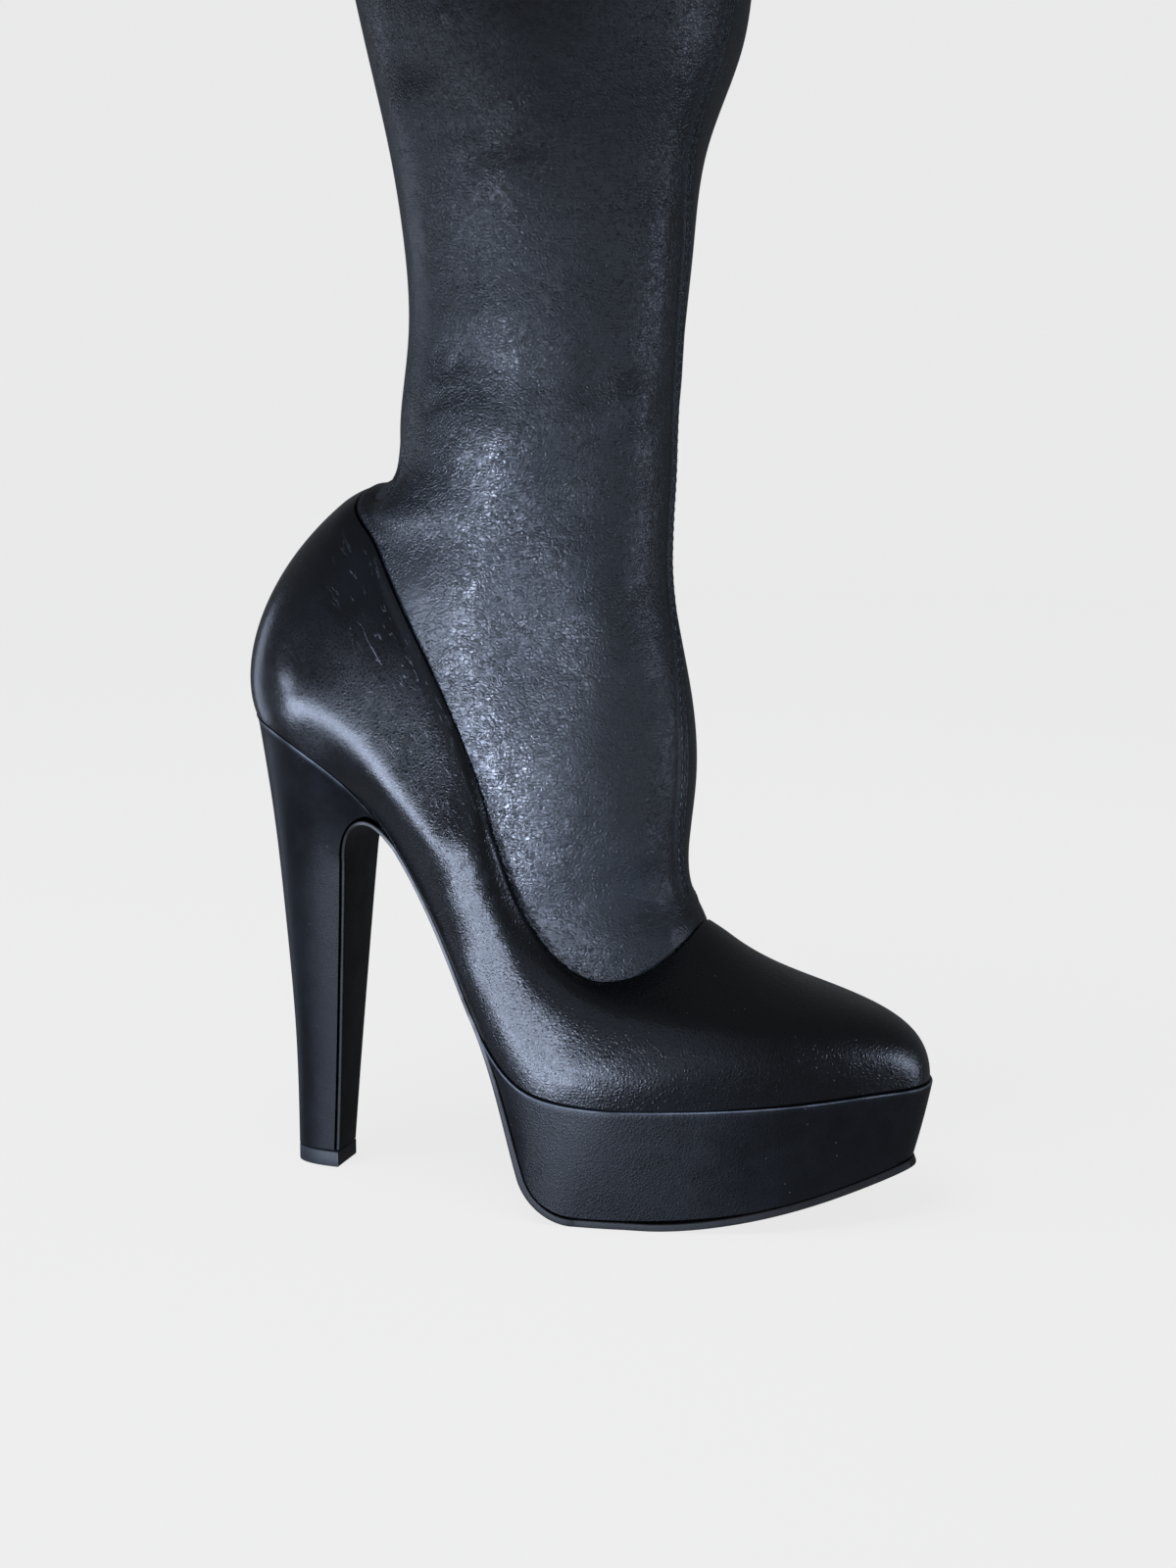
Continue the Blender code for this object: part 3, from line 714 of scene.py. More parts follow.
@dataclass(frozen=True)
class Leather:
    """Dyed and finished hide with a grain of small plates between fine valleys.

    Two close blacks lie in clouds, and the gloss breaks up at the size of the grain. Attributes of
    the mesh say where the hide is burnished, its colour there paler as a painted highlight where the
    value is above zero and darker as painted shade where it is below; where its grain is pulled flat
    (plain); where it is crinkled, with painted glints on the crinkles; and where an edge carries a
    painted highlight. Sizes, gaps and depths are millimetres, and pairs of clouds or breaks are the
    levels of a pattern between which it takes effect.
    """

    name: str
    colour: str
    pale: str
    roughness: float
    roughness_play: float
    grain: float
    grain_depth: float
    pore_depth: float
    lean: float = 0.0
    wave: float = 10.0
    wave_depth: float = 0.0
    lines: float = 3.2
    line_depth: float = 0.0
    sheen_polish: float = 0.0
    plain_polish: float = 0.0
    crinkle_depth: float = 0.0
    coat: float = 0.0
    coat_roughness: float = 0.2
    specular: float = 0.5
    cloud: float = 28.0
    speck: float = 0.0
    rubbed: str = "4a4e54"
    laid: bool = False
    refraction: float = 1.5
    patch_share: float = 0.22
    patch_weight: float = 0.4
    drift_share: float = 3.0
    valley: float = 0.3
    valley_dull: float = 0.08
    dome_mean: float = 0.75
    pore_share: float = 0.35
    plain_flat: float = 0.85
    edge_polish: float = 0.08
    gloss_clouds: Pair = (0.3, 0.7)
    tone_clouds: Pair = (0.25, 0.75)
    palest: float = 0.7
    sheen_tone: float = 0.8
    most_tone: float = 1.6
    rub_clouds: Pair = (0.35, 0.6)
    least_rub: float = 0.25
    dust: str = "7e858c"
    dust_gap: float = 2.6
    dust_radius: float = 0.08
    dust_patch: float = 9.0
    dust_level: float = 0.62
    crinkle_pale: float = 0.38
    crinkle_size: Pair = (15.0, 3.6)
    crinkle_width: float = 0.022
    crinkle_part: Pair = (7.0, 5.0)
    crinkle_level: float = 7.0
    crinkle_breaks: Pair = (0.51, 0.60)
    line_drift: Pair = (2.0, 2.4)
    line_turn: float = 28.0
    line_stretch: Triple = (0.5, 0.8, 1.0)
    line_width: float = 0.11
    line_patch: float = 13.0
    line_breaks: Pair = (0.44, 0.62)

    def build(self) -> bpy.types.Material:
        """Material with grain, pores, crinkles, clouds in its gloss and a few specks of dust.

        Returns:
            The material.
        """
        material = bpy.data.materials.new(self.name)
        material.use_nodes = True
        add = partial(add_node, material.node_tree)
        shader = material.node_tree.nodes["Principled BSDF"]
        shader.inputs["IOR"].default_value = self.refraction
        shader.inputs["Specular IOR Level"].default_value = self.specular
        shader.inputs["Coat Weight"].default_value = self.coat
        shader.inputs["Coat Roughness"].default_value = self.coat_roughness
        where = add("TexCoord", out="Object")
        spread = where
        if self.laid:
            runs = [add("Attribute", out="Fac", attribute_name=name) for name in ("around", "upward")]
            spread = add("CombineXYZ", runs)
        domes, lean = self._plates(add, spread)
        broad = {"Vector": where, "Scale": 1.0 / (self.cloud * MM), "Detail": 3.0, "Distortion": 0.4}
        small = {"Vector": where, "Scale": 1.0 / (self.patch_share * self.cloud * MM), "Detail": 2.0}
        patchy = add("Math", (add("TexNoise", small, "Fac"), self.patch_weight), operation="MULTIPLY")
        cloudy = add("TexNoise", broad, "Fac")
        clouds = add("Math", (cloudy, 1.0 - self.patch_weight, patchy), operation="MULTIPLY_ADD")
        height = self._rise(add, where, domes, lean)
        made = {"Roughness": self._roughness(add, domes, clouds),
                "Base Color": self._colour(add, where, clouds),
                "Normal": add("Bump", {"Strength": 1.0, "Distance": MM, "Height": height})}
        for name, socket in made.items():
            material.node_tree.links.new(socket, shader.inputs[name])
        return material

    def _plates(self, add: AddNode, where: Socket) -> tuple[Socket, Socket]:
        """Grain plates, and how high each point stands because its plate leans its own way.

        Args:
            add: adds a node.
            where: place on the piece.

        Returns:
            Dome of a plate, 0 in the valleys and 1 on top; lean of a plate, about -0.5 to 0.5.
        """
        grain = self.grain * MM
        wander = {"Vector": where, "Scale": 1.0 / (self.drift_share * grain), "Detail": 1.0}
        drift = add("TexNoise", wander, "Color")
        bent = add("VectorMath", (drift, (grain,) * 3, where), operation="MULTIPLY_ADD")
        size = add("VectorMath", {0: bent, "Scale": 1.0 / grain}, operation="SCALE")
        cells = {"Vector": size, "Scale": 1.0}
        flat = "2D" if self.laid else "3D"
        plates = add("TexVoronoi", cells, feature="F1", voronoi_dimensions=flat).node.outputs
        edges = add("TexVoronoi", cells, "Distance", feature="DISTANCE_TO_EDGE", voronoi_dimensions=flat)
        domes = add("MapRange", (edges, 0.0, self.valley, 0.0, 1.0), **SMOOTH)
        from_middle = add("VectorMath", (size, plates["Position"]), operation="SUBTRACT")
        chance = add("VectorMath", (plates["Color"], (0.5, 0.5, 0.5)), operation="SUBTRACT")
        lean = add("VectorMath", (from_middle, chance), "Value", operation="DOT_PRODUCT")
        return domes, add("Math", (lean, domes), operation="MULTIPLY")

    def _roughness(self, add: AddNode, domes: Socket, clouds: Socket) -> Socket:
        """Roughness: clouds, duller valleys, burnished and plain patches, rubbed edges.

        Args:
            add: adds a node.
            domes: dome of the grain plates.
            clouds: cloudy pattern.

        Returns:
            The roughness.
        """
        middle = self.roughness + self.valley_dull * self.dome_mean
        spans = (clouds, *self.gloss_clouds, middle - self.roughness_play, middle + self.roughness_play)
        gloss = add("MapRange", spans, **SMOOTH)
        gloss = add("Math", (domes, -self.valley_dull, gloss), operation="MULTIPLY_ADD")
        polish = {"sheen": self.sheen_polish, "plain": self.plain_polish, "edge": self.edge_polish}
        for name, depth in polish.items():
            if depth:
                wear_and_painted_highlight = add("Attribute", out="Fac", attribute_name=name)
                gloss = add("Math", (wear_and_painted_highlight, -depth, gloss), operation="MULTIPLY_ADD")
        return gloss

    def _colour(self, add: AddNode, where: Socket, clouds: Socket) -> Socket:
        """Colour: two close blacks in clouds, painted highlight and painted shade from the burnish
        attribute, painted highlights at edges and on crinkles, with dust.

        Args:
            add: adds a node.
            where: place on the piece.
            clouds: cloudy pattern.

        Returns:
            The colour.
        """
        tone = add("MapRange", (clouds, *self.tone_clouds, 0.0, self.palest), **SMOOTH)
        # Painted highlight and painted shade: the burnish attribute lifts the colour towards the paler black
        # where it is above zero, and takes it down to the darker black where it is below.
        if self.sheen_polish:
            sheen = add("Attribute", out="Fac", attribute_name="sheen")
            tone = add("Math", (sheen, self.sheen_tone, tone), operation="MULTIPLY_ADD")
            tone = add("Math", (tone, 0.0), operation="MAXIMUM")
            tone = add("Math", (tone, self.most_tone), operation="MINIMUM")
        blacks = {0: tone, 6: srgb(self.colour), 7: srgb(self.pale)}
        base = add("Mix", blacks, 2, data_type="RGBA", clamp_factor=False)
        # Painted highlight: corners marked by the edge attribute, in cloudy patches, and the ridges of the
        # crinkles are mixed towards a pale grey, which stands for glints on the crinkles.
        patchy = add("MapRange", (clouds, *self.rub_clouds, self.least_rub, 1.0), **SMOOTH)
        edge = add("Attribute", out="Fac", attribute_name="edge")
        wear_and_painted_highlight = add("Math", (edge, patchy), operation="MULTIPLY")
        if self.crinkle_depth:
            ridges = (self._crinkles(add), self.crinkle_pale, wear_and_painted_highlight)
            wear_and_painted_highlight = add("Math", ridges, operation="MULTIPLY_ADD")
        base = add("Mix", {0: wear_and_painted_highlight, 6: base, 7: srgb(self.rubbed)}, 2, data_type="RGBA")
        if not self.speck:
            return base
        dots = {"Vector": where, "Scale": 1.0 / (self.dust_gap * MM)}
        near = add("TexVoronoi", dots, "Distance", feature="F1")
        some = {"Vector": where, "Scale": 1.0 / (self.dust_patch * MM), "Detail": 1.0}
        chosen = add("Math", (add("TexNoise", some, "Fac"), self.dust_level), operation="GREATER_THAN")
        small = add("Math", (near, self.dust_radius), operation="LESS_THAN")
        specks = add("Math", (chosen, small), operation="MULTIPLY")
        specks = add("Math", (specks, self.speck), operation="MULTIPLY")
        return add("Mix", {0: specks, 6: base, 7: srgb(self.dust)}, 2, data_type="RGBA")

    def _rise(self, add: AddNode, where: Socket, domes: Socket, lean: Socket) -> Socket:
        """Height of the surface in millimetres: plates and pores, waves, break lines and crinkles.

        Args:
            add: adds a node.
            where: place on the piece.
            domes: dome of the grain plates.
            lean: lean of the grain plates.

        Returns:
            The height.
        """
        plain = add("Attribute", out="Fac", attribute_name="plain")
        raised = add("Math", (plain, -self.plain_flat, 1.0), operation="MULTIPLY_ADD")
        plates = add("Math", (domes, self.grain_depth), operation="MULTIPLY")
        plates = add("Math", (lean, self.lean, plates), operation="MULTIPLY_ADD")
        rise = add("Math", (plates, raised), operation="MULTIPLY")
        fine = {"Vector": where, "Scale": 1.0 / (self.pore_share * self.grain * MM), "Detail": 3.0}
        layers = [(add("TexNoise", fine, "Fac"), self.pore_depth)]
        if self.wave_depth:
            broad = {"Vector": where, "Scale": 1.0 / (self.wave * MM), "Detail": 2.0, "Distortion": 0.3}
            layers.append((add("TexNoise", broad, "Fac"), self.wave_depth))
        if self.line_depth:
            layers.append((self._break_lines(add, where), -self.line_depth))
        if self.crinkle_depth:
            layers.append((self._crinkles(add), self.crinkle_depth))
        for layer in layers:
            rise = add("Math", (*layer, rise), operation="MULTIPLY_ADD")
        return rise

    def _crinkles(self, add: AddNode) -> Socket:
        """Short fine ridges beside the topline: mid level of a noise drawn out along it, in pieces.

        Args:
            add: adds a node.

        Returns:
            1 on a ridge, 0 off it.
        """
        runs = [add("Attribute", out="Fac", attribute_name=name) for name in ("along", "down")]
        noises = []
        for size, level, detail, warp in ((self.crinkle_size, 0.0, 3.0, 0.5),
                                          (self.crinkle_part, self.crinkle_level, 1.0, 0.0)):
            spot = [add("Math", pair, operation="DIVIDE") for pair in zip(runs, size)]
            place = add("CombineXYZ", (*spot, level))
            noise = {"Vector": place, "Scale": 1.0, "Detail": detail, "Distortion": warp}
            noises.append(add("TexNoise", noise, "Fac"))
        off = add("Math", (noises[0], 0.5), operation="SUBTRACT")
        off = add("Math", (off,), operation="ABSOLUTE")
        ridge = add("MapRange", (off, 0.0, self.crinkle_width, 1.0, 0.0), **SMOOTH)
        part = add("MapRange", (noises[1], *self.crinkle_breaks, 0.0, 1.0), **SMOOTH)
        kept = add("Math", (ridge, part), operation="MULTIPLY")
        crinkled = add("Attribute", out="Fac", attribute_name="crinkle")
        return add("Math", (kept, crinkled), operation="MULTIPLY")

    def _break_lines(self, add: AddNode, where: Socket) -> Socket:
        """Fine lines in patches where worn leather has creased: edges of stretched, bent cells.

        Args:
            add: adds a node.
            where: place on the piece.

        Returns:
            1 in a line, 0 off it.
        """
        cell = self.lines * MM
        across, reach = self.line_drift
        bend = add("TexNoise", {"Vector": where, "Scale": 1.0 / (across * cell), "Detail": 2.0}, "Color")
        bent = add("VectorMath", (bend, (reach * cell,) * 3, where), operation="MULTIPLY_ADD")
        turned = add("Mapping", {"Vector": bent, "Rotation": (0.0, np.radians(self.line_turn), 0.0)})
        drawn = add("Mapping", {"Vector": turned, "Scale": self.line_stretch})
        cells = {"Vector": drawn, "Scale": 1.0 / cell}
        edges = add("TexVoronoi", cells, "Distance", feature="DISTANCE_TO_EDGE")
        sunk = add("MapRange", (edges, 0.0, self.line_width, 1.0, 0.0), **SMOOTH)
        some = {"Vector": where, "Scale": 1.0 / (self.line_patch * MM), "Detail": 2.0}
        patch = add("MapRange", (add("TexNoise", some, "Fac"), *self.line_breaks, 0.0, 1.0), **SMOOTH)
        return add("Math", (sunk, patch), operation="MULTIPLY")


# Aniline calf, plated hot and brushed to a satin polish: cool black with a soft, clear highlight that
# breaks up at the grain and sharpens on the counter. Pale grey painted glints lie on the crinkles by
# the topline, and two burnished patches are a little paler as a painted highlight. The real grain of
# about 0.7 mm is too fine to show in the render, so it is drawn at 1.1 mm.
PUMP_LEATHER = Leather("polished_calf", "0a0b0d", "111317", 0.26, 0.03, 1.1, 0.035, 0.010, lean=0.15,
                       wave_depth=0.14, sheen_polish=0.04, plain_polish=0.07, crinkle_depth=0.12,
                       coat=0.05, coat_roughness=0.18, speck=0.5, rubbed="7d848c")
# Soft nappa, drum-dyed and milled, then worn: pebbled grain, each plate with its own small glint, and
# burnished patches that are glossier and paler, the paler colour a painted highlight, beside patches made
# rougher and darker as painted shade. The real grain of about 0.7 mm is drawn at 1.05 mm, so that it
# shows in the render.
SHAFT_LEATHER = Leather("soft_nappa", "0a0c0e", "171b20", 0.38, 0.05, 1.05, 0.060, 0.010, lean=0.19,
                        wave=9.0, wave_depth=0.55, lines=2.6, line_depth=0.050, sheen_polish=0.08, laid=True)
# Thin calf wetted, pulled over the platform block and pressed: flatter grain than the upper's, a dull
# satin, and a pale grey painted highlight along its top edge. Its fine grain is drawn at 1 mm, so that it
# shows.
COVER_LEATHER = Leather("platform_cover_leather", "0a0b0d", "131519", 0.36, 0.05, 1.0, 0.030, 0.010,
                        lean=0.06, wave_depth=0.10, specular=0.36, speck=0.4, rubbed="8c929a")
# Thin calf stretched tight over the heel: almost no grain, an even dull satin, and a pale painted
# highlight along its top edge at the seat.
HEEL_LEATHER = Leather("heel_cover_leather", "0b0c0e", "17191d", 0.38, 0.05, 0.7, 0.014, 0.008,
                       specular=0.20, wave_depth=0.08, speck=0.3, rubbed="b2bac2")
# Vegetable-tanned sole leather, rolled hard and stained black: dense and dull, a little brown, with a
# grey painted highlight along its edge at the waist.
SOLE_LEATHER = Leather("stained_sole_leather", "0e0d0d", "191614", 0.46, 0.06, 0.5, 0.012, 0.012,
                       specular=0.25, rubbed="8a8886")
# Dyed sheepskin, buffed and left without a finish: soft dark grey with hardly any shine.
LINING_LEATHER = Leather("lining_sheepskin", "17171a", "232327", 0.62, 0.06, 0.9, 0.020, 0.014)
# Buffed sheepskin glued over the insole board: matt and a little brown.
INSOLE_BOARD = Leather("sock_lining", "1c1a19", "2a2725", 0.66, 0.05, 0.6, 0.014, 0.012)
# Moulded rubber, ground flush with the heel: dull dark grey with a fine tooth.
LIFT_RUBBER = Leather("lift_rubber", "1c1e21", "2b2e32", 0.52, 0.05, 0.5, 0.006, 0.016)
# Twisted nylon drawn through wax: dark grey with a low gloss along the thread.
SEAM_THREAD = Leather("waxed_thread", "22252a", "33373d", 0.42, 0.05, 0.3, 0.010, 0.010)


@dataclass
class ShellPiece:
    """Thin leather wall with a rounded top edge and a lining, made as one closed surface."""

    wall: float
    columns: int
    rows: int
    inside_rows: int = 8
    rim_rows: int = 7

    def close(self, outer: Array, plain: Array, ways: Array) -> Array:
        """Add the rounded rim and the inside to an outer grid.

        The inside is the plain form moved inwards by the wall, with fewer rows; the rim is a half
        circle from the outside to the inside.

        Args:
            outer: rows by columns of outside points.
            plain: the same points before any folds.
            ways: outward normals of the plain form.

        Returns:
            Rows of outside, rim and inside, from bottom to top and down again.
        """
        kept = np.linspace(len(outer) - 1, 0, self.inside_rows).round().astype(int)
        inside = plain[kept] - ways[kept] * self.wall
        middle, half = (outer[-1] + inside[0]) / 2.0, (outer[-1] - inside[0]) / 2.0
        climb = unit(plain[-1] - plain[-2])
        climb = unit(climb - unit(half) * np.sum(climb * unit(half), -1, keepdims=True))
        turn = np.radians(np.linspace(0.0, 180.0, self.rim_rows + 2))[1:-1, None, None]
        reach = np.linalg.norm(half, axis=-1, keepdims=True)
        rim = middle + np.cos(turn) * half + np.sin(turn) * climb * reach
        return np.concatenate((outer, rim, inside))

    def spread(self, values: Array) -> Array:
        """Values of the outer grid, carried on to rim and inside with the top row's."""
        return np.concatenate((values, np.repeat(values[-1:], self.rim_rows + self.inside_rows, axis=0)))


def half_turn(angle: Array) -> Array:
    """Angle from the back seam, the same on both sides: the smaller of the angle and 360 less it."""
    return np.minimum(angle, 360.0 - angle)


def both_sides(creases: Sequence[Crease], shift: float = 4.0, ease_off: float = 0.7) -> tuple[Crease, ...]:
    """Creases of the inner side: those of the outer side mirrored, moved a little and weaker.

    Args:
        creases: creases of the outer side.
        shift: how far they move up, in the unit of their places.
        ease_off: factor on their depth.

    Returns:
        The mirrored creases.
    """
    return tuple(Crease(tuple((360.0 - angle, place + shift) for angle, place in crease.path), crease.width,
                        crease.depth * ease_off, crease.lip) for crease in creases)


GIRTH_LINE = (
    Crease(((16.0, 0.36), (34.0, 0.34), (48.0, 0.35), (57.0, 0.38), (66.0, 0.45), (74.0, 0.55), (80.0, 0.66),
            (86.0, 0.77), (92.0, 0.80), (100.0, 0.72)), 11.0, -1.8, 0.0),
    Crease(((68.0, 0.24), (75.0, 0.32), (81.0, 0.40), (86.0, 0.44), (90.0, 0.41), (94.0, 0.34), (99.0, 0.28),
            (106.0, 0.24)), 10.0, 0.9, 0.0),
    Crease(((90.0, 0.14), (95.0, 0.14), (101.0, 0.13), (110.0, 0.12), (122.0, 0.12)), 9.0, -1.0, 0.0),
)
UPPER_CREASES = (
    Crease(((81.0, 0.57), (86.0, 0.70), (91.0, 0.88)), 1.3, 0.15),
    Crease(((83.5, 0.56), (88.0, 0.68), (93.0, 0.84)), 1.2, 0.14),
    Crease(((86.0, 0.52), (90.0, 0.60), (94.0, 0.70)), 1.2, 0.11),
)
# Crinkled patches beside the topline: fine ridges in the bump, with painted glints of pale grey on them.
CRINKLED = tuple(Swelling(*row) for row in (
    (46.0, 0.90, 9.0, 12.0, 0.8), (60.0, 0.86, 9.0, 13.0, 0.9), (70.0, 0.79, 9.0, 13.0, 0.9),
    (78.0, 0.73, 8.0, 12.0, 0.8), (314.0, 0.90, 9.0, 12.0, 0.6), (300.0, 0.86, 9.0, 13.0, 0.6),
    (287.0, 0.77, 9.0, 13.0, 0.6),
))
# Burnished patches of the upper: glossier, and a little paler in colour as a painted highlight.
UPPER_BURNISH_PAINTED_SHEEN = tuple(Swelling(*row) for row in (
    (47.0, 0.97, 10.0, 14.0, 0.9), (95.0, 0.20, 14.0, 10.0, 0.6),
))


@dataclass
class Upper(ShellPiece):
    """Pump-shaped upper of polished calf, pulled over the last from feather edge to topline."""

    wall: float = LAST.upper_wall
    columns: int = 470
    rows: int = 150
    inside_rows: int = 50
    middle_share: float = 0.5
    slack_angle: float = 102.0
    slack_reach: float = 13.0
    slack_shares: Pair = (0.45, 0.8)
    most_slack: float = 0.9
    slack_rounds: int = 260
    skive: float = 0.95
    skive_reach: float = 8.0
    plainest: float = 0.85
    plain_until: float = 60.0
    grained_from: float = 88.0

    def slack(self, share: Array, angle: Array) -> Array:
        """How freely the upper relaxes: most beside the steep stretches of the topline, not at its edge.

        Args:
            share: 0 at the feather edge, 1 at the topline.
            angle: stations round the boot.

        Returns:
            Share of the way that each point settles in a round.
        """
        beside = np.exp(-((half_turn(angle) - self.slack_angle) / self.slack_reach) ** 2)
        free = beside * ease(*self.slack_shares, share)
        free[-1] = 0.0
        return self.most_slack * free

    def build(self) -> Piece:
        """Mesh of the upper with its folds, and the attributes that its finish reads.

        Returns:
            The piece.
        """
        angles = even_columns(lambda a: LAST.upper(np.full_like(a, self.middle_share), a),
                              self.columns, np.ones_like)
        shares, turns = np.meshgrid(np.linspace(0.0, 1.0, self.rows), angles, indexing="ij")
        plain = relaxed(LAST.upper(shares, turns), self.slack(shares, turns), self.slack_rounds)
        ways = grid_normals(plain)
        folds = GIRTH_LINE + UPPER_CREASES
        fold = Relief(LAST.upper, folds + both_sides(folds, 0.0))
        outer = plain + ways * (fold.height(plain) - self.skived(plain))[..., None]
        grid = self.close(outer, plain, ways)
        piece = grid_object("upper_leather", placed(grid), True, self.rows + self.rim_rows // 2)
        down, along = self.topline_run(plain)
        crinkle = np.clip(patches(LAST.upper, plain, CRINKLED), 0.0, 1.0)
        grained = ease(self.plain_until, self.grained_from, half_turn(turns))
        add_attribute(piece, "down", self.spread(down))
        add_attribute(piece, "along", self.spread(along))
        add_attribute(piece, "crinkle", self.spread(crinkle))
        add_attribute(piece, "sheen", self.spread(patches(LAST.upper, plain, UPPER_BURNISH_PAINTED_SHEEN)))
        add_attribute(piece, "plain", self.spread(self.plainest - self.plainest * grained))
        return piece

    def topline_run(self, plain: Array) -> tuple[Array, Array]:
        """Runs down from the topline and along it: sums of the steps from point to point.

        Args:
            plain: points of the upper, rows by columns.

        Returns:
            Distance down and distance along at each point, in millimetres.
        """
        steps = np.linalg.norm(np.diff(plain, axis=0), axis=-1)
        run = np.concatenate((np.zeros((1, plain.shape[1])), np.cumsum(steps, axis=0)))
        edge = np.linalg.norm(np.diff(plain[-1], axis=0), axis=-1)
        along = np.append(0.0, np.cumsum(edge))
        return run[-1] - run, np.broadcast_to(along, run.shape)

    def skived(self, plain: Array) -> Array:
        """How far the leather is pared thin towards the topline: the square of the nearness to it."""
        down, _ = self.topline_run(plain)
        return self.skive * (1.0 - np.clip(down / self.skive_reach, 0.0, 1.0)) ** 2

    def dress(self, piece: Piece) -> None:
        """Polished calf outside, lining inside.

        Args:
            piece: the upper.
        """
        piece.data.materials.append(PUMP_LEATHER.build())
        piece.data.materials.append(LINING_LEATHER.build())
        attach(piece, "root")
        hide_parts("upper")


SHAFT_CREASES = (
    Crease(((40.0, 316), (56.5, 319), (77.5, 322), (87.0, 322)), 2.5, 0.19),
    Crease(((44.5, 319), (62.5, 323), (75.5, 325)), 2.0, 0.13),
    Crease(((73.5, 308), (82.0, 309), (91.5, 311)), 1.8, 0.14),
    Crease(((59.5, 252), (69.5, 258), (73.0, 262)), 1.8, 0.17),
    Crease(((52.5, 255), (61.0, 262), (64.5, 265)), 1.7, 0.15),
    Crease(((70.5, 246), (80.0, 249), (91.0, 249)), 2.0, 0.19),
    Crease(((34.0, 239), (61.0, 246), (71.0, 250)), 2.5, 0.17),
    Crease(((39.0, 235), (52.0, 242), (61.0, 247)), 2.2, 0.14),
    Crease(((131.5, 231), (144.5, 233), (164.0, 233)), 2.5, 0.19),
    Crease(((142.0, 254), (155.5, 258), (168.5, 263)), 2.5, 0.15),
    Crease(((110.0, 136), (118.5, 135), (126.5, 134)), 1.7, 0.16),
    Crease(((157.5, 114), (157.5, 107), (161.0, 100)), 1.4, 0.19),
    Crease(((166.5, 112), (170.5, 104), (176.0, 93)), 1.4, 0.18),
    Crease(((164.0, 110), (168.0, 100), (171.0, 91)), 1.4, 0.15),
    Crease(((143.5, 356), (149.5, 353), (162.0, 346)), 1.5, 0.19),
    Crease(((147.0, 359), (153.5, 355), (164.5, 349)), 1.5, 0.19),
    Crease(((145.0, 352), (153.5, 348), (165.0, 342)), 1.5, 0.17),
    Crease(((146.5, 342), (156.0, 338), (166.0, 334)), 1.5, 0.16),
    Crease(((150.0, 337), (158.0, 333), (167.0, 328)), 1.5, 0.13),
    Crease(((26.0, 232), (30.0, 223), (44.0, 214)), 1.8, 0.90),
    Crease(((8.0, 214), (22.0, 216), (34.5, 219), (40.0, 224)), 2.0, 0.90),
)
SHAFT_SWELLINGS = tuple(Swelling(*row) for row in (
    (0.0, 216, 24.0, 9.0, -6.0), (90.0, 236, 17.0, 11.0, 1.7), (72.0, 206, 17.0, 11.0, -1.6),
    (118.0, 222, 12.0, 12.0, -1.5), (110.0, 174, 18.0, 24.0, -2.2), (137.0, 180, 11.0, 20.0, 1.1),
    (146.0, 246, 9.0, 8.0, 2.0), (128.0, 252, 11.0, 8.0, -1.3), (89.0, 270, 15.0, 10.0, 1.3),
    (72.0, 258, 9.0, 7.0, -0.9), (152.0, 296, 10.0, 9.0, 1.4), (132.0, 284, 12.0, 14.0, -0.9),
    (47.0, 329, 10.0, 8.0, 1.3), (60.0, 341, 12.0, 7.0, -1.0), (88.0, 318, 14.0, 6.0, 1.0),
    (105.0, 303, 12.0, 10.0, -0.8), (140.0, 146, 14.0, 22.0, -0.9), (145.0, 112, 11.0, 8.0, 0.9),
    (130.0, 318, 20.0, 18.0, -0.9), (160.0, 178, 9.0, 12.0, 0.8), (96.0, 128, 9.0, 18.0, -0.6),
    (112.0, 108, 10.0, 10.0, 0.6), (270.0, 236, 17.0, 11.0, 1.0), (288.0, 206, 17.0, 11.0, -1.4),
    (252.0, 172, 19.0, 26.0, -1.4), (214.0, 250, 12.0, 10.0, 1.0), (235.0, 300, 16.0, 14.0, -0.8),
    (312.0, 330, 11.0, 9.0, 0.8), (222.0, 128, 12.0, 16.0, 0.7), (100.0, 420, 24.0, 22.0, 0.9),
    (260.0, 405, 24.0, 22.0, 0.9), (140.0, 455, 22.0, 20.0, -0.8), (55.0, 450, 22.0, 20.0, -0.7),
    (310.0, 440, 22.0, 22.0, -0.7),
))
# Burnished patches of the shaft: glossier, and paler in colour as a painted highlight; those of negative
# rise are rougher and darker, as painted shade.
SHAFT_BURNISH_PAINTED_SHEEN_SHADE = tuple(Swelling(*row) for row in (
    (88.5, 223, 19.0, 18.0, 1.0), (105.0, 186, 20.0, 30.0, 0.55), (88.0, 256, 13.0, 11.0, 0.45),
    (146.5, 240, 9.0, 8.0, 0.8), (47.0, 323, 8.0, 7.0, 0.5), (47.0, 347, 10.0, 10.0, 0.4),
    (152.5, 342, 8.0, 14.0, 0.6), (95.0, 140, 12.0, 24.0, 0.6), (107.0, 106, 12.0, 18.0, 0.6),
    (166.0, 178, 8.0, 14.0, 0.4), (145.5, 106, 11.0, 8.0, 0.6), (79.5, 291, 14.0, 18.0, 0.25),
    (152.0, 290, 9.0, 9.0, 0.5), (145.0, 262, 9.0, 5.0, 0.4), (113.5, 353, 26.0, 12.0, -0.7),
    (136.5, 313, 20.0, 18.0, -0.6), (140.5, 142, 16.0, 30.0, -0.6), (127.5, 223, 14.0, 16.0, -0.4),
    (58.5, 341, 10.0, 6.0, -0.4), (133.0, 256, 15.0, 10.0, -0.3), (43.0, 235, 8.0, 14.0, -0.5),
    (271.0, 226, 19.0, 18.0, 0.7), (255.0, 160, 20.0, 34.0, 0.4), (222.0, 300, 20.0, 22.0, -0.4),
))
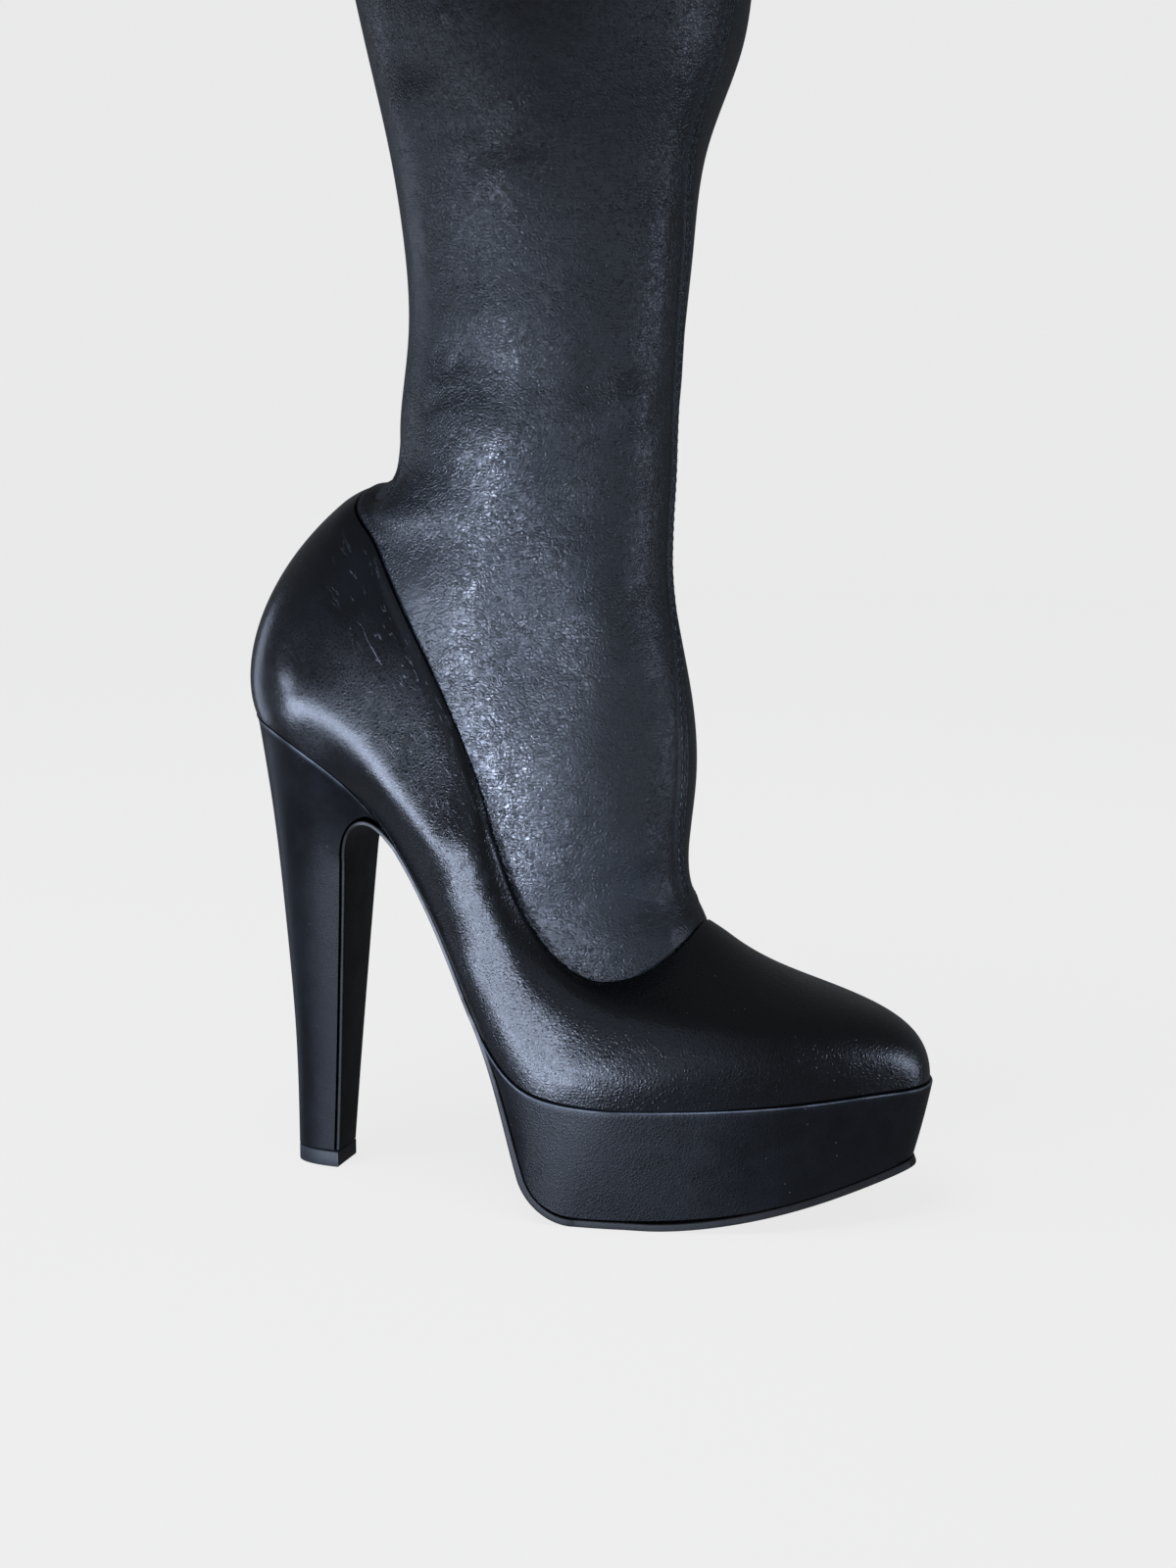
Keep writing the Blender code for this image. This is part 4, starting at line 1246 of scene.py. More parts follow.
SHAFT_PLAIN = tuple(Swelling(*row) for row in (
    (40.0, 290, 13.0, 34.0, 0.8), (66.0, 188, 10.0, 13.0, 1.0), (160.0, 88, 16.0, 6.0, 0.9),
    (200.0, 88, 16.0, 6.0, 0.9), (320.0, 290, 13.0, 34.0, 0.7),
))


@dataclass
class Shaft(ShellPiece):
    """Close-fitting shaft of soft nappa with a stitched seam down its front.

    The band of the seam slopes off between two distances from its half width, a line of painted shade of
    a place and a width lies beside it, and a bare length is left at each end of its stitches.
    """

    wall: float = LAST.shaft_wall
    columns: int = 400
    rows: int = 200
    inside_rows: int = 40
    ring_height: float = 300.0
    free_above: float = 6.0
    crowd_more: float = 3.0
    crowd_angle: float = 174.0
    crowd_reach: float = 12.0
    seam_half_width: float = 2.7
    seam_slope: Pair = (-1.0, 0.4)
    seam_rise: float = 0.7
    seam_groove: float = 0.75
    groove_width: float = 0.5
    seam_shade: float = 3.0
    shade_width: float = 0.7
    side_shade: Pair = (0.3, 0.8)
    sheen_limits: Pair = (-1.0, 1.2)
    seam_foot: float = 94.0
    seam_fade: float = 7.0
    stitch_offset: float = 1.3
    stitch_groove: float = 0.25
    needle_width: float = 0.4
    stitch_pitch: float = 2.9
    stitch_length: float = 2.2
    stitch_ends: Pair = (5.0, 4.0)
    stitch_proud: float = 0.6
    stitch_sink: float = 0.12
    thread_radius: float = 0.24
    thread_end: float = 0.01
    thread_rings: int = 7
    thread_sides: int = 8
    throat_stitches: int = 37
    throat_gap: float = 6.0
    throat_proud: float = 0.1
    seam_line: tuple[Pair, ...] = (
        (80.0, 181.0), (91.0, 180.0), (105.0, 173.5), (131.0, 169.0), (160.0, 173.0), (176.0, 179.0),
        (203.0, 183.0), (247.0, 181.0), (276.0, 177.0), (304.0, 172.5), (333.0, 166.0), (357.0, 167.5),
        (420.0, 171.0), (505.0, 173.0))
    throat_line: tuple[Pair, ...] = (
        (128.0, 103.5), (150.0, 97.5), (166.0, 93.5), (180.0, 92.0), (194.0, 93.5),
        (210.0, 97.5), (232.0, 103.5))

    def crowd(self, angle: Array) -> Array:
        """More columns where the front seam wanders: a flat-topped bell of the angle."""
        return 1.0 + self.crowd_more * np.exp(-((angle - self.crowd_angle) / self.crowd_reach) ** 4)

    def seam_angle(self, height: Array) -> Array:
        """Station of the front seam, which wanders a little on the leg."""
        return Spline(*np.array(self.seam_line).T)(height)

    def seam_distance(self, height: Array, angle: Array) -> Array:
        """Distance round the leg from the seam, in millimetres: the arc between the two stations."""
        return np.abs(np.radians(angle - self.seam_angle(height)) * LAST.leg_half(height))

    def seam_start(self, height: Array) -> Array:
        """Smooth step with which the seam comes out of the throat."""
        return ease(self.seam_foot, self.seam_foot + self.seam_fade, height)

    def seam(self, height: Array, angle: Array) -> Array:
        """Rise of the front seam: a raised band, less grooves down its middle and along each stitch row.

        Args:
            height: heights of the grid's points.
            angle: their stations.

        Returns:
            Rise at each point.
        """
        off = self.seam_distance(height, angle)
        band = 1.0 - ease(*(self.seam_half_width + np.array(self.seam_slope)), off)
        groove = self.seam_groove * np.exp(-(off / self.groove_width) ** 2)
        needle = self.stitch_groove * np.exp(-((off - self.stitch_offset) / self.needle_width) ** 2)
        return (self.seam_rise * band - groove - needle) * self.seam_start(height)

    def gloss(self, plain: Array, angle: Array) -> Array:
        """Where the shaft is burnished, less painted shade down the seam's groove and along each of its
        sides.

        Args:
            plain: points of the plain shaft, rows by columns.
            angle: their stations.

        Returns:
            Burnish at each point, which the finish turns into a paler colour as a painted highlight;
            negative where it is rougher and darker as painted shade.
        """
        off = self.seam_distance(plain[..., 2], angle)
        beside, width = self.side_shade
        side = np.exp(-((off - self.seam_half_width - beside) / width) ** 2)
        # Painted shade: the seam's groove and the lines beside it get a negative burnish, which the finish
        # makes rougher and darker.
        painted_groove_shade = (np.exp(-(off / self.shade_width) ** 2) + side) * self.seam_start(plain[..., 2])
        return np.clip(patches(LAST.leg, plain, SHAFT_BURNISH_PAINTED_SHEEN_SHADE), *self.sheen_limits) - self.seam_shade * painted_groove_shade

    def build(self) -> Piece:
        """Mesh of the shaft with its folds and seam, and the attributes that its finish reads.

        Returns:
            The piece.
        """
        angles = even_columns(lambda a: LAST.leg(np.full_like(a, self.ring_height), a),
                              self.columns, self.crowd)
        shares, turns = np.meshgrid(np.linspace(0.0, 1.0, self.rows), angles, indexing="ij")
        plain = LAST.shaft(shares, turns)
        ways = grid_normals(plain)
        above = ease(0.0, self.free_above, plain[..., 2] - LAST.topline_height(turns))
        formed = plain + ways * (patches(LAST.leg, plain, SHAFT_SWELLINGS) * above)[..., None]
        fold = Relief(LAST.leg, SHAFT_CREASES + both_sides(SHAFT_CREASES))
        rise = (fold.height(plain) + self.seam(plain[..., 2], turns)) * above
        outer = formed + grid_normals(formed) * rise[..., None]
        grid = self.close(outer, formed, ways)
        piece = grid_object("shaft_leather", placed(grid), True, self.rows + self.rim_rows // 2)
        add_attribute(piece, "sheen", self.spread(self.gloss(plain, turns)))
        add_attribute(piece, "plain", self.spread(np.clip(patches(LAST.leg, plain, SHAFT_PLAIN), 0.0, 1.0)))
        add_attribute(piece, "around", self.spread(self.round_run(plain[..., 2], turns) * MM))
        add_attribute(piece, "upward", self.spread(plain[..., 2] * MM))
        return piece

    def round_run(self, height: Array, angle: Array) -> Array:
        """Distance round the leg from its back, to either side as far as the seam, in millimetres."""
        turn = np.where(angle < self.seam_angle(height), angle, angle - 360.0)
        return np.radians(turn) * LAST.leg_half(height)

    def stitch_places(self) -> tuple[Array, Array, Array]:
        """Middles of the stitches, their ways along the seam and their outward ways.

        Two rows run up the front seam, one each side of its groove, and one runs round the throat.

        Returns:
            Three arrays of points, one row for each stitch.
        """
        first, last = self.stitch_ends
        height = np.arange(self.seam_foot + first, LAST.boot_height - last, self.stitch_pitch)
        rows = []
        for side in (-1.0, 1.0):
            angle = self.seam_angle(height) + np.degrees(side * self.stitch_offset / LAST.leg_half(height))
            spots, out = LAST.leg(height, angle), LAST.leg_outward(height, angle)
            rise = self.seam_rise - self.stitch_groove + self.stitch_proud * self.thread_radius
            rise = rise + patches(LAST.leg, spots, SHAFT_SWELLINGS)
            rows.append((spots + out * rise[:, None], out))
        stations = np.array(self.throat_line)
        angle = np.linspace(stations[0, 0], stations[-1, 0], self.throat_stitches)
        angle = angle[np.abs(angle - 180.0) > self.throat_gap]
        place = Spline(stations[:, 0], stations[:, 1])(angle)
        out = LAST.leg_outward(place, angle)
        rows.append((LAST.leg(place, angle) + out * self.throat_proud, out))
        spots = np.concatenate([row[0] for row in rows])
        along = unit(np.concatenate([np.gradient(row[0], axis=0) for row in rows]))
        out = np.concatenate([row[1] for row in rows])
        return spots, along, unit(out - along * np.sum(out * along, -1, keepdims=True))

    def build_stitches(self) -> Piece:
        """One mesh of all stitches, each a short capsule of thread whose ends sink into the leather.

        Returns:
            The piece, dressed.
        """
        spots, along, out = self.stitch_places()
        side = np.cross(out, along)
        run = np.linspace(-1.0, 1.0, self.thread_rings)
        swell = np.sqrt(np.clip(1.0 - run ** 4, 0.0, 1.0)) * self.thread_radius + self.thread_end
        turn = np.radians(np.arange(self.thread_sides) * 360.0 / self.thread_sides)
        length = run * self.stitch_length / 2.0
        sink = -self.stitch_sink * run ** 2
        rings = (spots[:, None, None] + along[:, None, None] * length[:, None, None]
                 + out[:, None, None] * (sink[:, None] + swell[:, None] * np.sin(turn))[..., None]
                 + side[:, None, None] * (swell[:, None] * np.cos(turn))[..., None])
        faces = ring_quads(self.thread_rings, self.thread_sides)[:, ::-1]
        first = np.arange(len(spots)) * self.thread_rings * self.thread_sides
        every = (faces[None] + first[:, None, None]).reshape(-1, 4)
        mesh = bpy.data.meshes.new("seam_stitches")
        mesh.from_pydata(placed(rings.reshape(-1, 3)), [], every.tolist())
        piece = smooth_object("seam_stitches", mesh)
        mesh.update()
        piece.data.materials.append(SEAM_THREAD.build())
        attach(piece, "root")
        return piece

    def dress(self, piece: Piece) -> None:
        """Soft nappa outside, lining inside.

        Args:
            piece: the shaft.
        """
        piece.data.materials.append(SHAFT_LEATHER.build())
        piece.data.materials.append(LINING_LEATHER.build())
        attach(piece, "root")
        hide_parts("shaft")


@dataclass
class SolePath:
    """Underside of the sole from the toe, round the rear of the platform, up the waist, down the breast.

    Each stretch is an array of stations by forward, height, outer side, inner side and thickness.
    """

    outsole_thickness: float = 2.4
    waist_thickness: float = 1.3
    flap_thickness: float = 1.3
    flat_rear: float = 10.5
    flat_front: float = 32.0
    flat_lateral: float = 38.5
    flat_medial: float = 37.0
    toe_spring: float = 16.4
    toe_spring_reach: float = 73.0
    toe_spring_power: float = 1.65
    toe_first: float = 0.02
    toe_crowd: float = 1.7
    forefoot_stations: int = 96
    bend_radius: float = 19.0
    bend_step: float = 1.0
    wall_step: float = 6.0
    top_step: float = 10.0
    last_step: float = 11.0
    rear_stations: int = 111
    rear_lean: float = 17.0
    rear_lateral: float = 39.0
    rear_medial: float = 36.0
    rear_ease: float = 1.5
    platform_proud: float = 0.8
    platform_start: float = 77.5
    forefoot_end: float = 102.0
    waist_start: float = 75.0
    waist_end: float = 60.5
    waist_stations: int = 50
    arch_span: Pair = (0.06, 0.98)
    arch_stations: int = 40
    breast_stations: int = 50
    breast_foot: Pair = (-78.5, 5.6)
    breast_head: Pair = (-72.2, 101.0)
    breast_rise: Pair = (-71.8, 112.0)
    breast_crown: Pair = (-64.5, 119.8)
    breast_lip: Pair = (-54.5, 110.0)
    join_lag: int = 5
    join_reach: float = 30.0
    join_rounds: int = 300
    hair: float = 1e-6

    def __post_init__(self) -> None:
        """Join the stretches of the path and ease the sides where the forefoot meets the rear."""
        forefoot = self._forefoot()
        rear, rear_angles = self._rear(forefoot[-1])
        waist = self._waist()
        arch = self._arch(waist[-1])
        self.stations = np.vstack((forefoot, rear, waist, arch, self._breast()))
        station = np.arange(len(self.stations))[:, None]
        join = np.exp(-((station - len(forefoot) - self.join_lag) / self.join_reach) ** 4)
        self.stations[:, 2:4] = eased_rows(self.stations[:, 2:4], join, self.join_rounds)
        self.platform_count = len(forefoot) + int(np.sum(rear_angles >= self.platform_start - self.hair))
        self.platform_angles = np.append(self.forefoot_angles, rear_angles)[:self.platform_count]
        self.flap_first = len(forefoot) + len(rear) + len(waist)
        ways = unit(np.gradient(self.stations[:, :2], axis=0))
        self.normals = np.stack((ways[:, 1], -ways[:, 0]), axis=1)

    def bottom_edge(self, angle: Array) -> Array:
        """Lower edge of the forefoot sole, drawn in from the feather edge by the draft of the wall."""
        inset = np.interp(half_turn(angle), *np.array(DRAFT).T) - self.platform_proud
        return (LAST.feather(angle) - LAST.feather_outward(angle) * inset[:, None])[:, :2]

    def _forefoot(self) -> Array:
        """Stations from the toe to the end of the forefoot: flat, then sprung up to the toe by a power.

        Returns:
            The stretch.
        """
        reach = 180.0 - self.forefoot_end
        shares = np.linspace(self.toe_first, 1.0, self.forefoot_stations) ** self.toe_crowd
        self.forefoot_angles = 180.0 - reach * shares
        outer = self.bottom_edge(self.forefoot_angles)
        inner = self.bottom_edge(360.0 - self.forefoot_angles)
        forward = (outer[:, 0] + inner[:, 0]) / 2.0
        beyond = np.maximum(forward - self.flat_front, 0.0) / self.toe_spring_reach
        height = self.toe_spring * beyond ** self.toe_spring_power
        thick = np.full_like(forward, self.outsole_thickness)
        return np.stack((forward, height, outer[:, 1], inner[:, 1], thick), axis=1)

    def _rear(self, last: Array) -> tuple[Array, Array]:
        """Stations round the rear of the platform: a flat, a bend of one radius and a leaning wall.

        The wall is a cubic that leaves the bend at its lean and meets the waist along it.

        Args:
            last: last station of the forefoot.

        Returns:
            The stretch, and the station of the platform's top edge over each of its stations.
        """
        step = np.linspace(0.0, self.last_step, self.rear_stations)[1:-1]
        flat = np.array((self.flat_rear, 0.0, -self.flat_lateral, self.flat_medial, self.outsole_thickness))
        begin = last + (flat - last) * np.clip(step / self.bend_step, 0.0, 1.0)[:, None]
        round_share = np.clip((step - self.bend_step) / (self.wall_step - self.bend_step), 0.0, 1.0)
        turn = np.radians((90.0 - self.rear_lean) * round_share)
        bend = np.stack((self.flat_rear - self.bend_radius * np.sin(turn),
                         self.bend_radius * (1.0 - np.cos(turn))), axis=1)
        share = np.clip((step - self.wall_step) / (self.last_step - self.wall_step), 0.0, 1.0)
        lean = np.radians(self.rear_lean)
        angle = np.array(self.waist_start)
        end = LAST.below_feather(angle, LAST.seat_gap + self.waist_thickness)
        end_way = unit(LAST.side_view(angle - LAST.slope_step) - LAST.side_view(angle))
        start = bend[-1]
        reach = np.hypot(*(end - start))
        s = share[:, None]
        ends = (2 * s ** 3 - 3 * s ** 2 + 1) * start + (3 * s ** 2 - 2 * s ** 3) * end
        start_way = np.array((-np.sin(lean), np.cos(lean)))
        wall = ends + reach * ((s ** 3 - 2 * s ** 2 + s) * start_way + (s ** 3 - s ** 2) * end_way)
        upright = np.where(step[:, None] <= self.wall_step, bend, wall)
        spots = np.where(step[:, None] <= self.bend_step, begin[:, :2], upright)
        loose = share ** self.rear_ease
        widen = np.clip(step - self.bend_step, 0.0, 1.0)
        outer = begin[:, 2] + (self.flat_lateral - self.rear_lateral) * widen
        inner = begin[:, 3] + (self.rear_medial - self.flat_medial) * widen
        outer += (LAST.feather(angle)[1] - outer) * loose
        inner += (LAST.feather(360.0 - angle)[1] - inner) * loose
        thick = self.outsole_thickness + (self.waist_thickness - self.outsole_thickness) * share
        top = self.forefoot_end + (self.platform_start - self.forefoot_end) * step / self.top_step
        return np.column_stack((spots, outer, inner, thick)), top

    def _waist(self) -> Array:
        """Stations along the waist, square below the feather edge.

        Returns:
            The stretch.
        """
        angle = np.linspace(self.waist_start, self.waist_end, self.waist_stations)
        spots = LAST.below_feather(angle, LAST.seat_gap + self.waist_thickness)
        thick = np.full_like(angle, self.waist_thickness)
        return np.column_stack((spots, LAST.feather(angle)[:, 1], LAST.feather(360.0 - angle)[:, 1], thick))

    def _arch(self, last: Array) -> Array:
        """Stations round the lip of the heel to the head of its breast, along a cubic curve.

        Args:
            last: last station of the waist.

        Returns:
            The stretch.
        """
        self.arch_shares = share = np.linspace(*self.arch_span, self.arch_stations)
        pulls = np.array((self.breast_lip, self.breast_crown, self.breast_rise, self.breast_head))
        spots = cubic_curve(*pulls, share[:, None])
        head = BREAST[-1].half_width
        outer = last[2] + (-head - last[2]) * share
        inner = last[3] + (head - last[3]) * share
        thick = self.waist_thickness + (self.flap_thickness - self.waist_thickness) * share
        return np.column_stack((spots, outer, inner, thick))

    def _breast(self) -> Array:
        """Stations straight down the breast of the heel.

        Returns:
            The stretch.
        """
        self.breast_shares = share = np.linspace(1.0, 0.0, self.breast_stations)
        foot, head = np.array(self.breast_foot), np.array(self.breast_head)
        spots = foot + (head - foot) * share[:, None]
        half = np.interp(share, column(BREAST, "share"), column(BREAST, "half_width"))
        return np.column_stack((spots, -half, half, np.full_like(share, self.flap_thickness)))


SOLE = SolePath()


def sheet_sections(spots: Array, ways: Array, sides: tuple[Array, Array], thick: Array,
                   round_off: float) -> Array:
    """Sections of a bent sheet with rounded edges.

    Each section is a rectangle across the boot whose corners are quarter circles.

    Args:
        spots: forward and height of the outside face at each station.
        ways: side-view normals from the outside face to the inside face.
        sides: side coordinates of the outer edge and of the inner edge.
        thick: thickness at each station.
        round_off: radius of the corners.

    Returns:
        Stations by corners of points; corner k faces corner count - 1 - k.
    """
    outer, inner = sides
    turn = np.radians(np.linspace(0.0, 90.0, SHEET_CORNER_POINTS))
    most = np.minimum(SHEET_ROUND_DEEP * thick, SHEET_ROUND_WIDE * np.abs(inner - outer))
    radius = np.minimum(round_off, most)[:, None]
    depth = thick[:, None]
    low_in = radius * (1.0 - np.sin(turn))
    low_up = radius * (1.0 - np.cos(turn))
    edge_in = np.hstack((low_in, low_in[:, ::-1]))
    edge_up = np.hstack((low_up, depth - low_up[:, ::-1]))
    side = np.hstack((outer[:, None] + edge_in, (inner[:, None] - edge_in)[:, ::-1]))
    up = np.hstack((edge_up, edge_up[:, ::-1]))
    forward = spots[:, :1] + ways[:, :1] * up
    height = spots[:, 1:] + ways[:, 1:] * up
    return points(forward, side, height)


@dataclass
class Insole:
    """Board with its sock lining, inside the feather edge."""

    thickness: float = 1.8
    clearance: float = 0.8
    stations: int = 160
    ends: Pair = (4.0, 176.0)
    edge_round: float = 0.5
    sharp: float = 40.0

    def build(self) -> Piece:
        """Mesh of the board: a bent sheet along the feather edge.

        Returns:
            The piece.
        """
        angle = np.linspace(*self.ends, self.stations)
        inset = LAST.upper_wall + self.clearance
        outer = LAST.feather(angle) - LAST.feather_outward(angle) * inset
        inner = LAST.feather(360.0 - angle) - LAST.feather_outward(360.0 - angle) * inset
        forward = (outer[:, 0] + inner[:, 0]) / 2.0
        edge = np.linspace(0.0, 180.0, EDGE_SAMPLES)
        seat = np.interp(forward, LAST.feather_forward(edge), LAST.feather_height(edge))
        ways = LAST.below_feather(angle, -1.0) - LAST.side_view(angle)
        thick = np.full_like(angle, self.thickness)
        sides = (outer[:, 1], inner[:, 1])
        sections = sheet_sections(np.column_stack((forward, seat)), ways, sides, thick, self.edge_round)
        return loft_object("sock_lined_insole", placed(sections), self.sharp)

    def dress(self, piece: Piece) -> None:
        """Sock lining over the board.

        Args:
            piece: the insole.
        """
        piece.data.materials.append(INSOLE_BOARD.build())
        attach(piece, "root")
        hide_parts("insole")


@dataclass
class Outsole:
    """Thin sole leather from the toe, round the platform, up the waist and down the breast as a flap.

    Its edge carries a painted highlight along the waist: it comes in over some stations counted from
    the rear of the platform and goes over some counted from the start of the flap.
    """

    edge_round: float = 0.5
    flap_inset: float = 0.7
    least_rub: float = 0.08
    rub_starts: Pair = (-20.0, 10.0)
    rub_ends: Pair = (5.0, 25.0)
    rub_corner: float = 4.5
    rub_reach: float = 2.5
    sharp: float = 40.0

    def build(self) -> Piece:
        """Mesh of the sole: a bent sheet along the sole path, with a painted highlight along its edge at the
        waist.

        Returns:
            The piece.
        """
        forward_up, outer, inner, thick = np.split(SOLE.stations, (2, 3, 4), axis=1)
        station = np.arange(len(outer))
        inset = self.flap_inset * ease(0.0, SOLE.arch_stations, station - SOLE.flap_first)
        sides = (outer[:, 0] + inset, inner[:, 0] - inset)
        sections = sheet_sections(forward_up, SOLE.normals, sides, thick[:, 0], self.edge_round)
        corner = np.arange(sections.shape[1] // 2)
        # Painted highlight: corners of the edge along the waist, faint elsewhere, which the finish makes
        # grey and glossier.
        on_waist = ease(*self.rub_starts, station - SOLE.platform_count)
        on_waist = on_waist * (1.0 - ease(*self.rub_ends, station - SOLE.flap_first))
        highlight_weight = self.least_rub + (1.0 - self.least_rub) * on_waist[:, None]
        rubbed = np.exp(-((corner - self.rub_corner) / self.rub_reach) ** 2) * highlight_weight
        edge = np.hstack((rubbed, rubbed[:, ::-1]))
        return loft_object("outsole_leather", placed(sections), self.sharp, edge)

    def dress(self, piece: Piece) -> None:
        """Stained sole leather.

        Args:
            piece: the outsole.
        """
        piece.data.materials.append(SOLE_LEATHER.build())
        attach(piece, "root")
        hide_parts("outsole")


@dataclass
class Platform:
    """Leather-covered block between the feather edge and the outsole."""

    shoulder: float = 0.7
    wall_rows: int = 22
    shoulder_rows: int = 7
    bulge: float = 0.25
    tuck: float = 3.0
    tuck_reach: float = 20.0
    rub_row: float = 1.5
    rub_reach: float = 1.3
    join: int = 104
    join_reach: int = 26
    join_rounds: int = 120
    sharp: float = 60.0

    def side(self, angle: Array, low: Array) -> Array:
        """One side of the sections, from the bottom edge over the rounded shoulder to below the upper.

        Args:
            angle: stations of the top edge.
            low: points of the bottom edge.

        Returns:
            Stations by rows of points.
        """
        lift = np.array((0.0, 0.0, 1.0))
        away = LAST.feather_outward(angle)
        proud = away * SOLE.platform_proud
        rim = LAST.feather(angle) - lift * LAST.seat_gap
        shoulder = rim + proud - lift * self.shoulder
        share = np.linspace(0.0, 1.0, self.wall_rows)[None, :, None]
        wall = low[:, None] + (shoulder - low)[:, None] * share
        wall = wall + away[:, None] * self.bulge * np.sin(np.pi * share)
        turn = np.radians(np.linspace(0.0, 90.0, self.shoulder_rows + 1))[None, 1:, None]
        top = rim[:, None] + proud[:, None] * np.cos(turn)
        top = top - lift * self.shoulder * (1.0 - np.sin(turn))
        under = rim - away * self.tuck * np.minimum(1.0, np.abs(angle - 180.0) / self.tuck_reach)[:, None]
        return np.concatenate((wall, top, under[:, None]), axis=1)

    def build(self) -> Piece:
        """Mesh of the block, lofted from the toe to the rear wall, with a painted highlight along its
        shoulder.

        Returns:
            The piece.
        """
        used = SOLE.stations[:SOLE.platform_count]
        ways = SOLE.normals[:SOLE.platform_count]
        low = used[:, :2] + ways * (used[:, 4:] + LAST.seat_gap)
        outer = self.side(SOLE.platform_angles, points(low[:, 0], used[:, 2], low[:, 1]))
        inner = self.side(360.0 - SOLE.platform_angles, points(low[:, 0], used[:, 3], low[:, 1]))
        rows = np.concatenate((outer, inner[:, ::-1]), axis=1)
        # Painted highlight: a narrow band of rows along the shoulder, which the finish makes pale grey and
        # glossier.
        place = np.arange(self.wall_rows + self.shoulder_rows + 1)
        rim = np.exp(-((place - self.wall_rows - self.rub_row) / self.rub_reach) ** 2)
        station = np.arange(len(rows))[:, None, None]
        join = np.exp(-((station - self.join) / self.join_reach) ** 4)
        rows = eased_rows(rows, join, self.join_rounds)
        return loft_object("platform_cover", placed(rows), self.sharp, np.append(rim, rim[::-1]))

    def dress(self, piece: Piece) -> None:
        """Leather pulled over the block.

        Args:
            piece: the platform.
        """
        piece.data.materials.append(COVER_LEATHER.build())
        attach(piece, "root")
        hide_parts("platform")


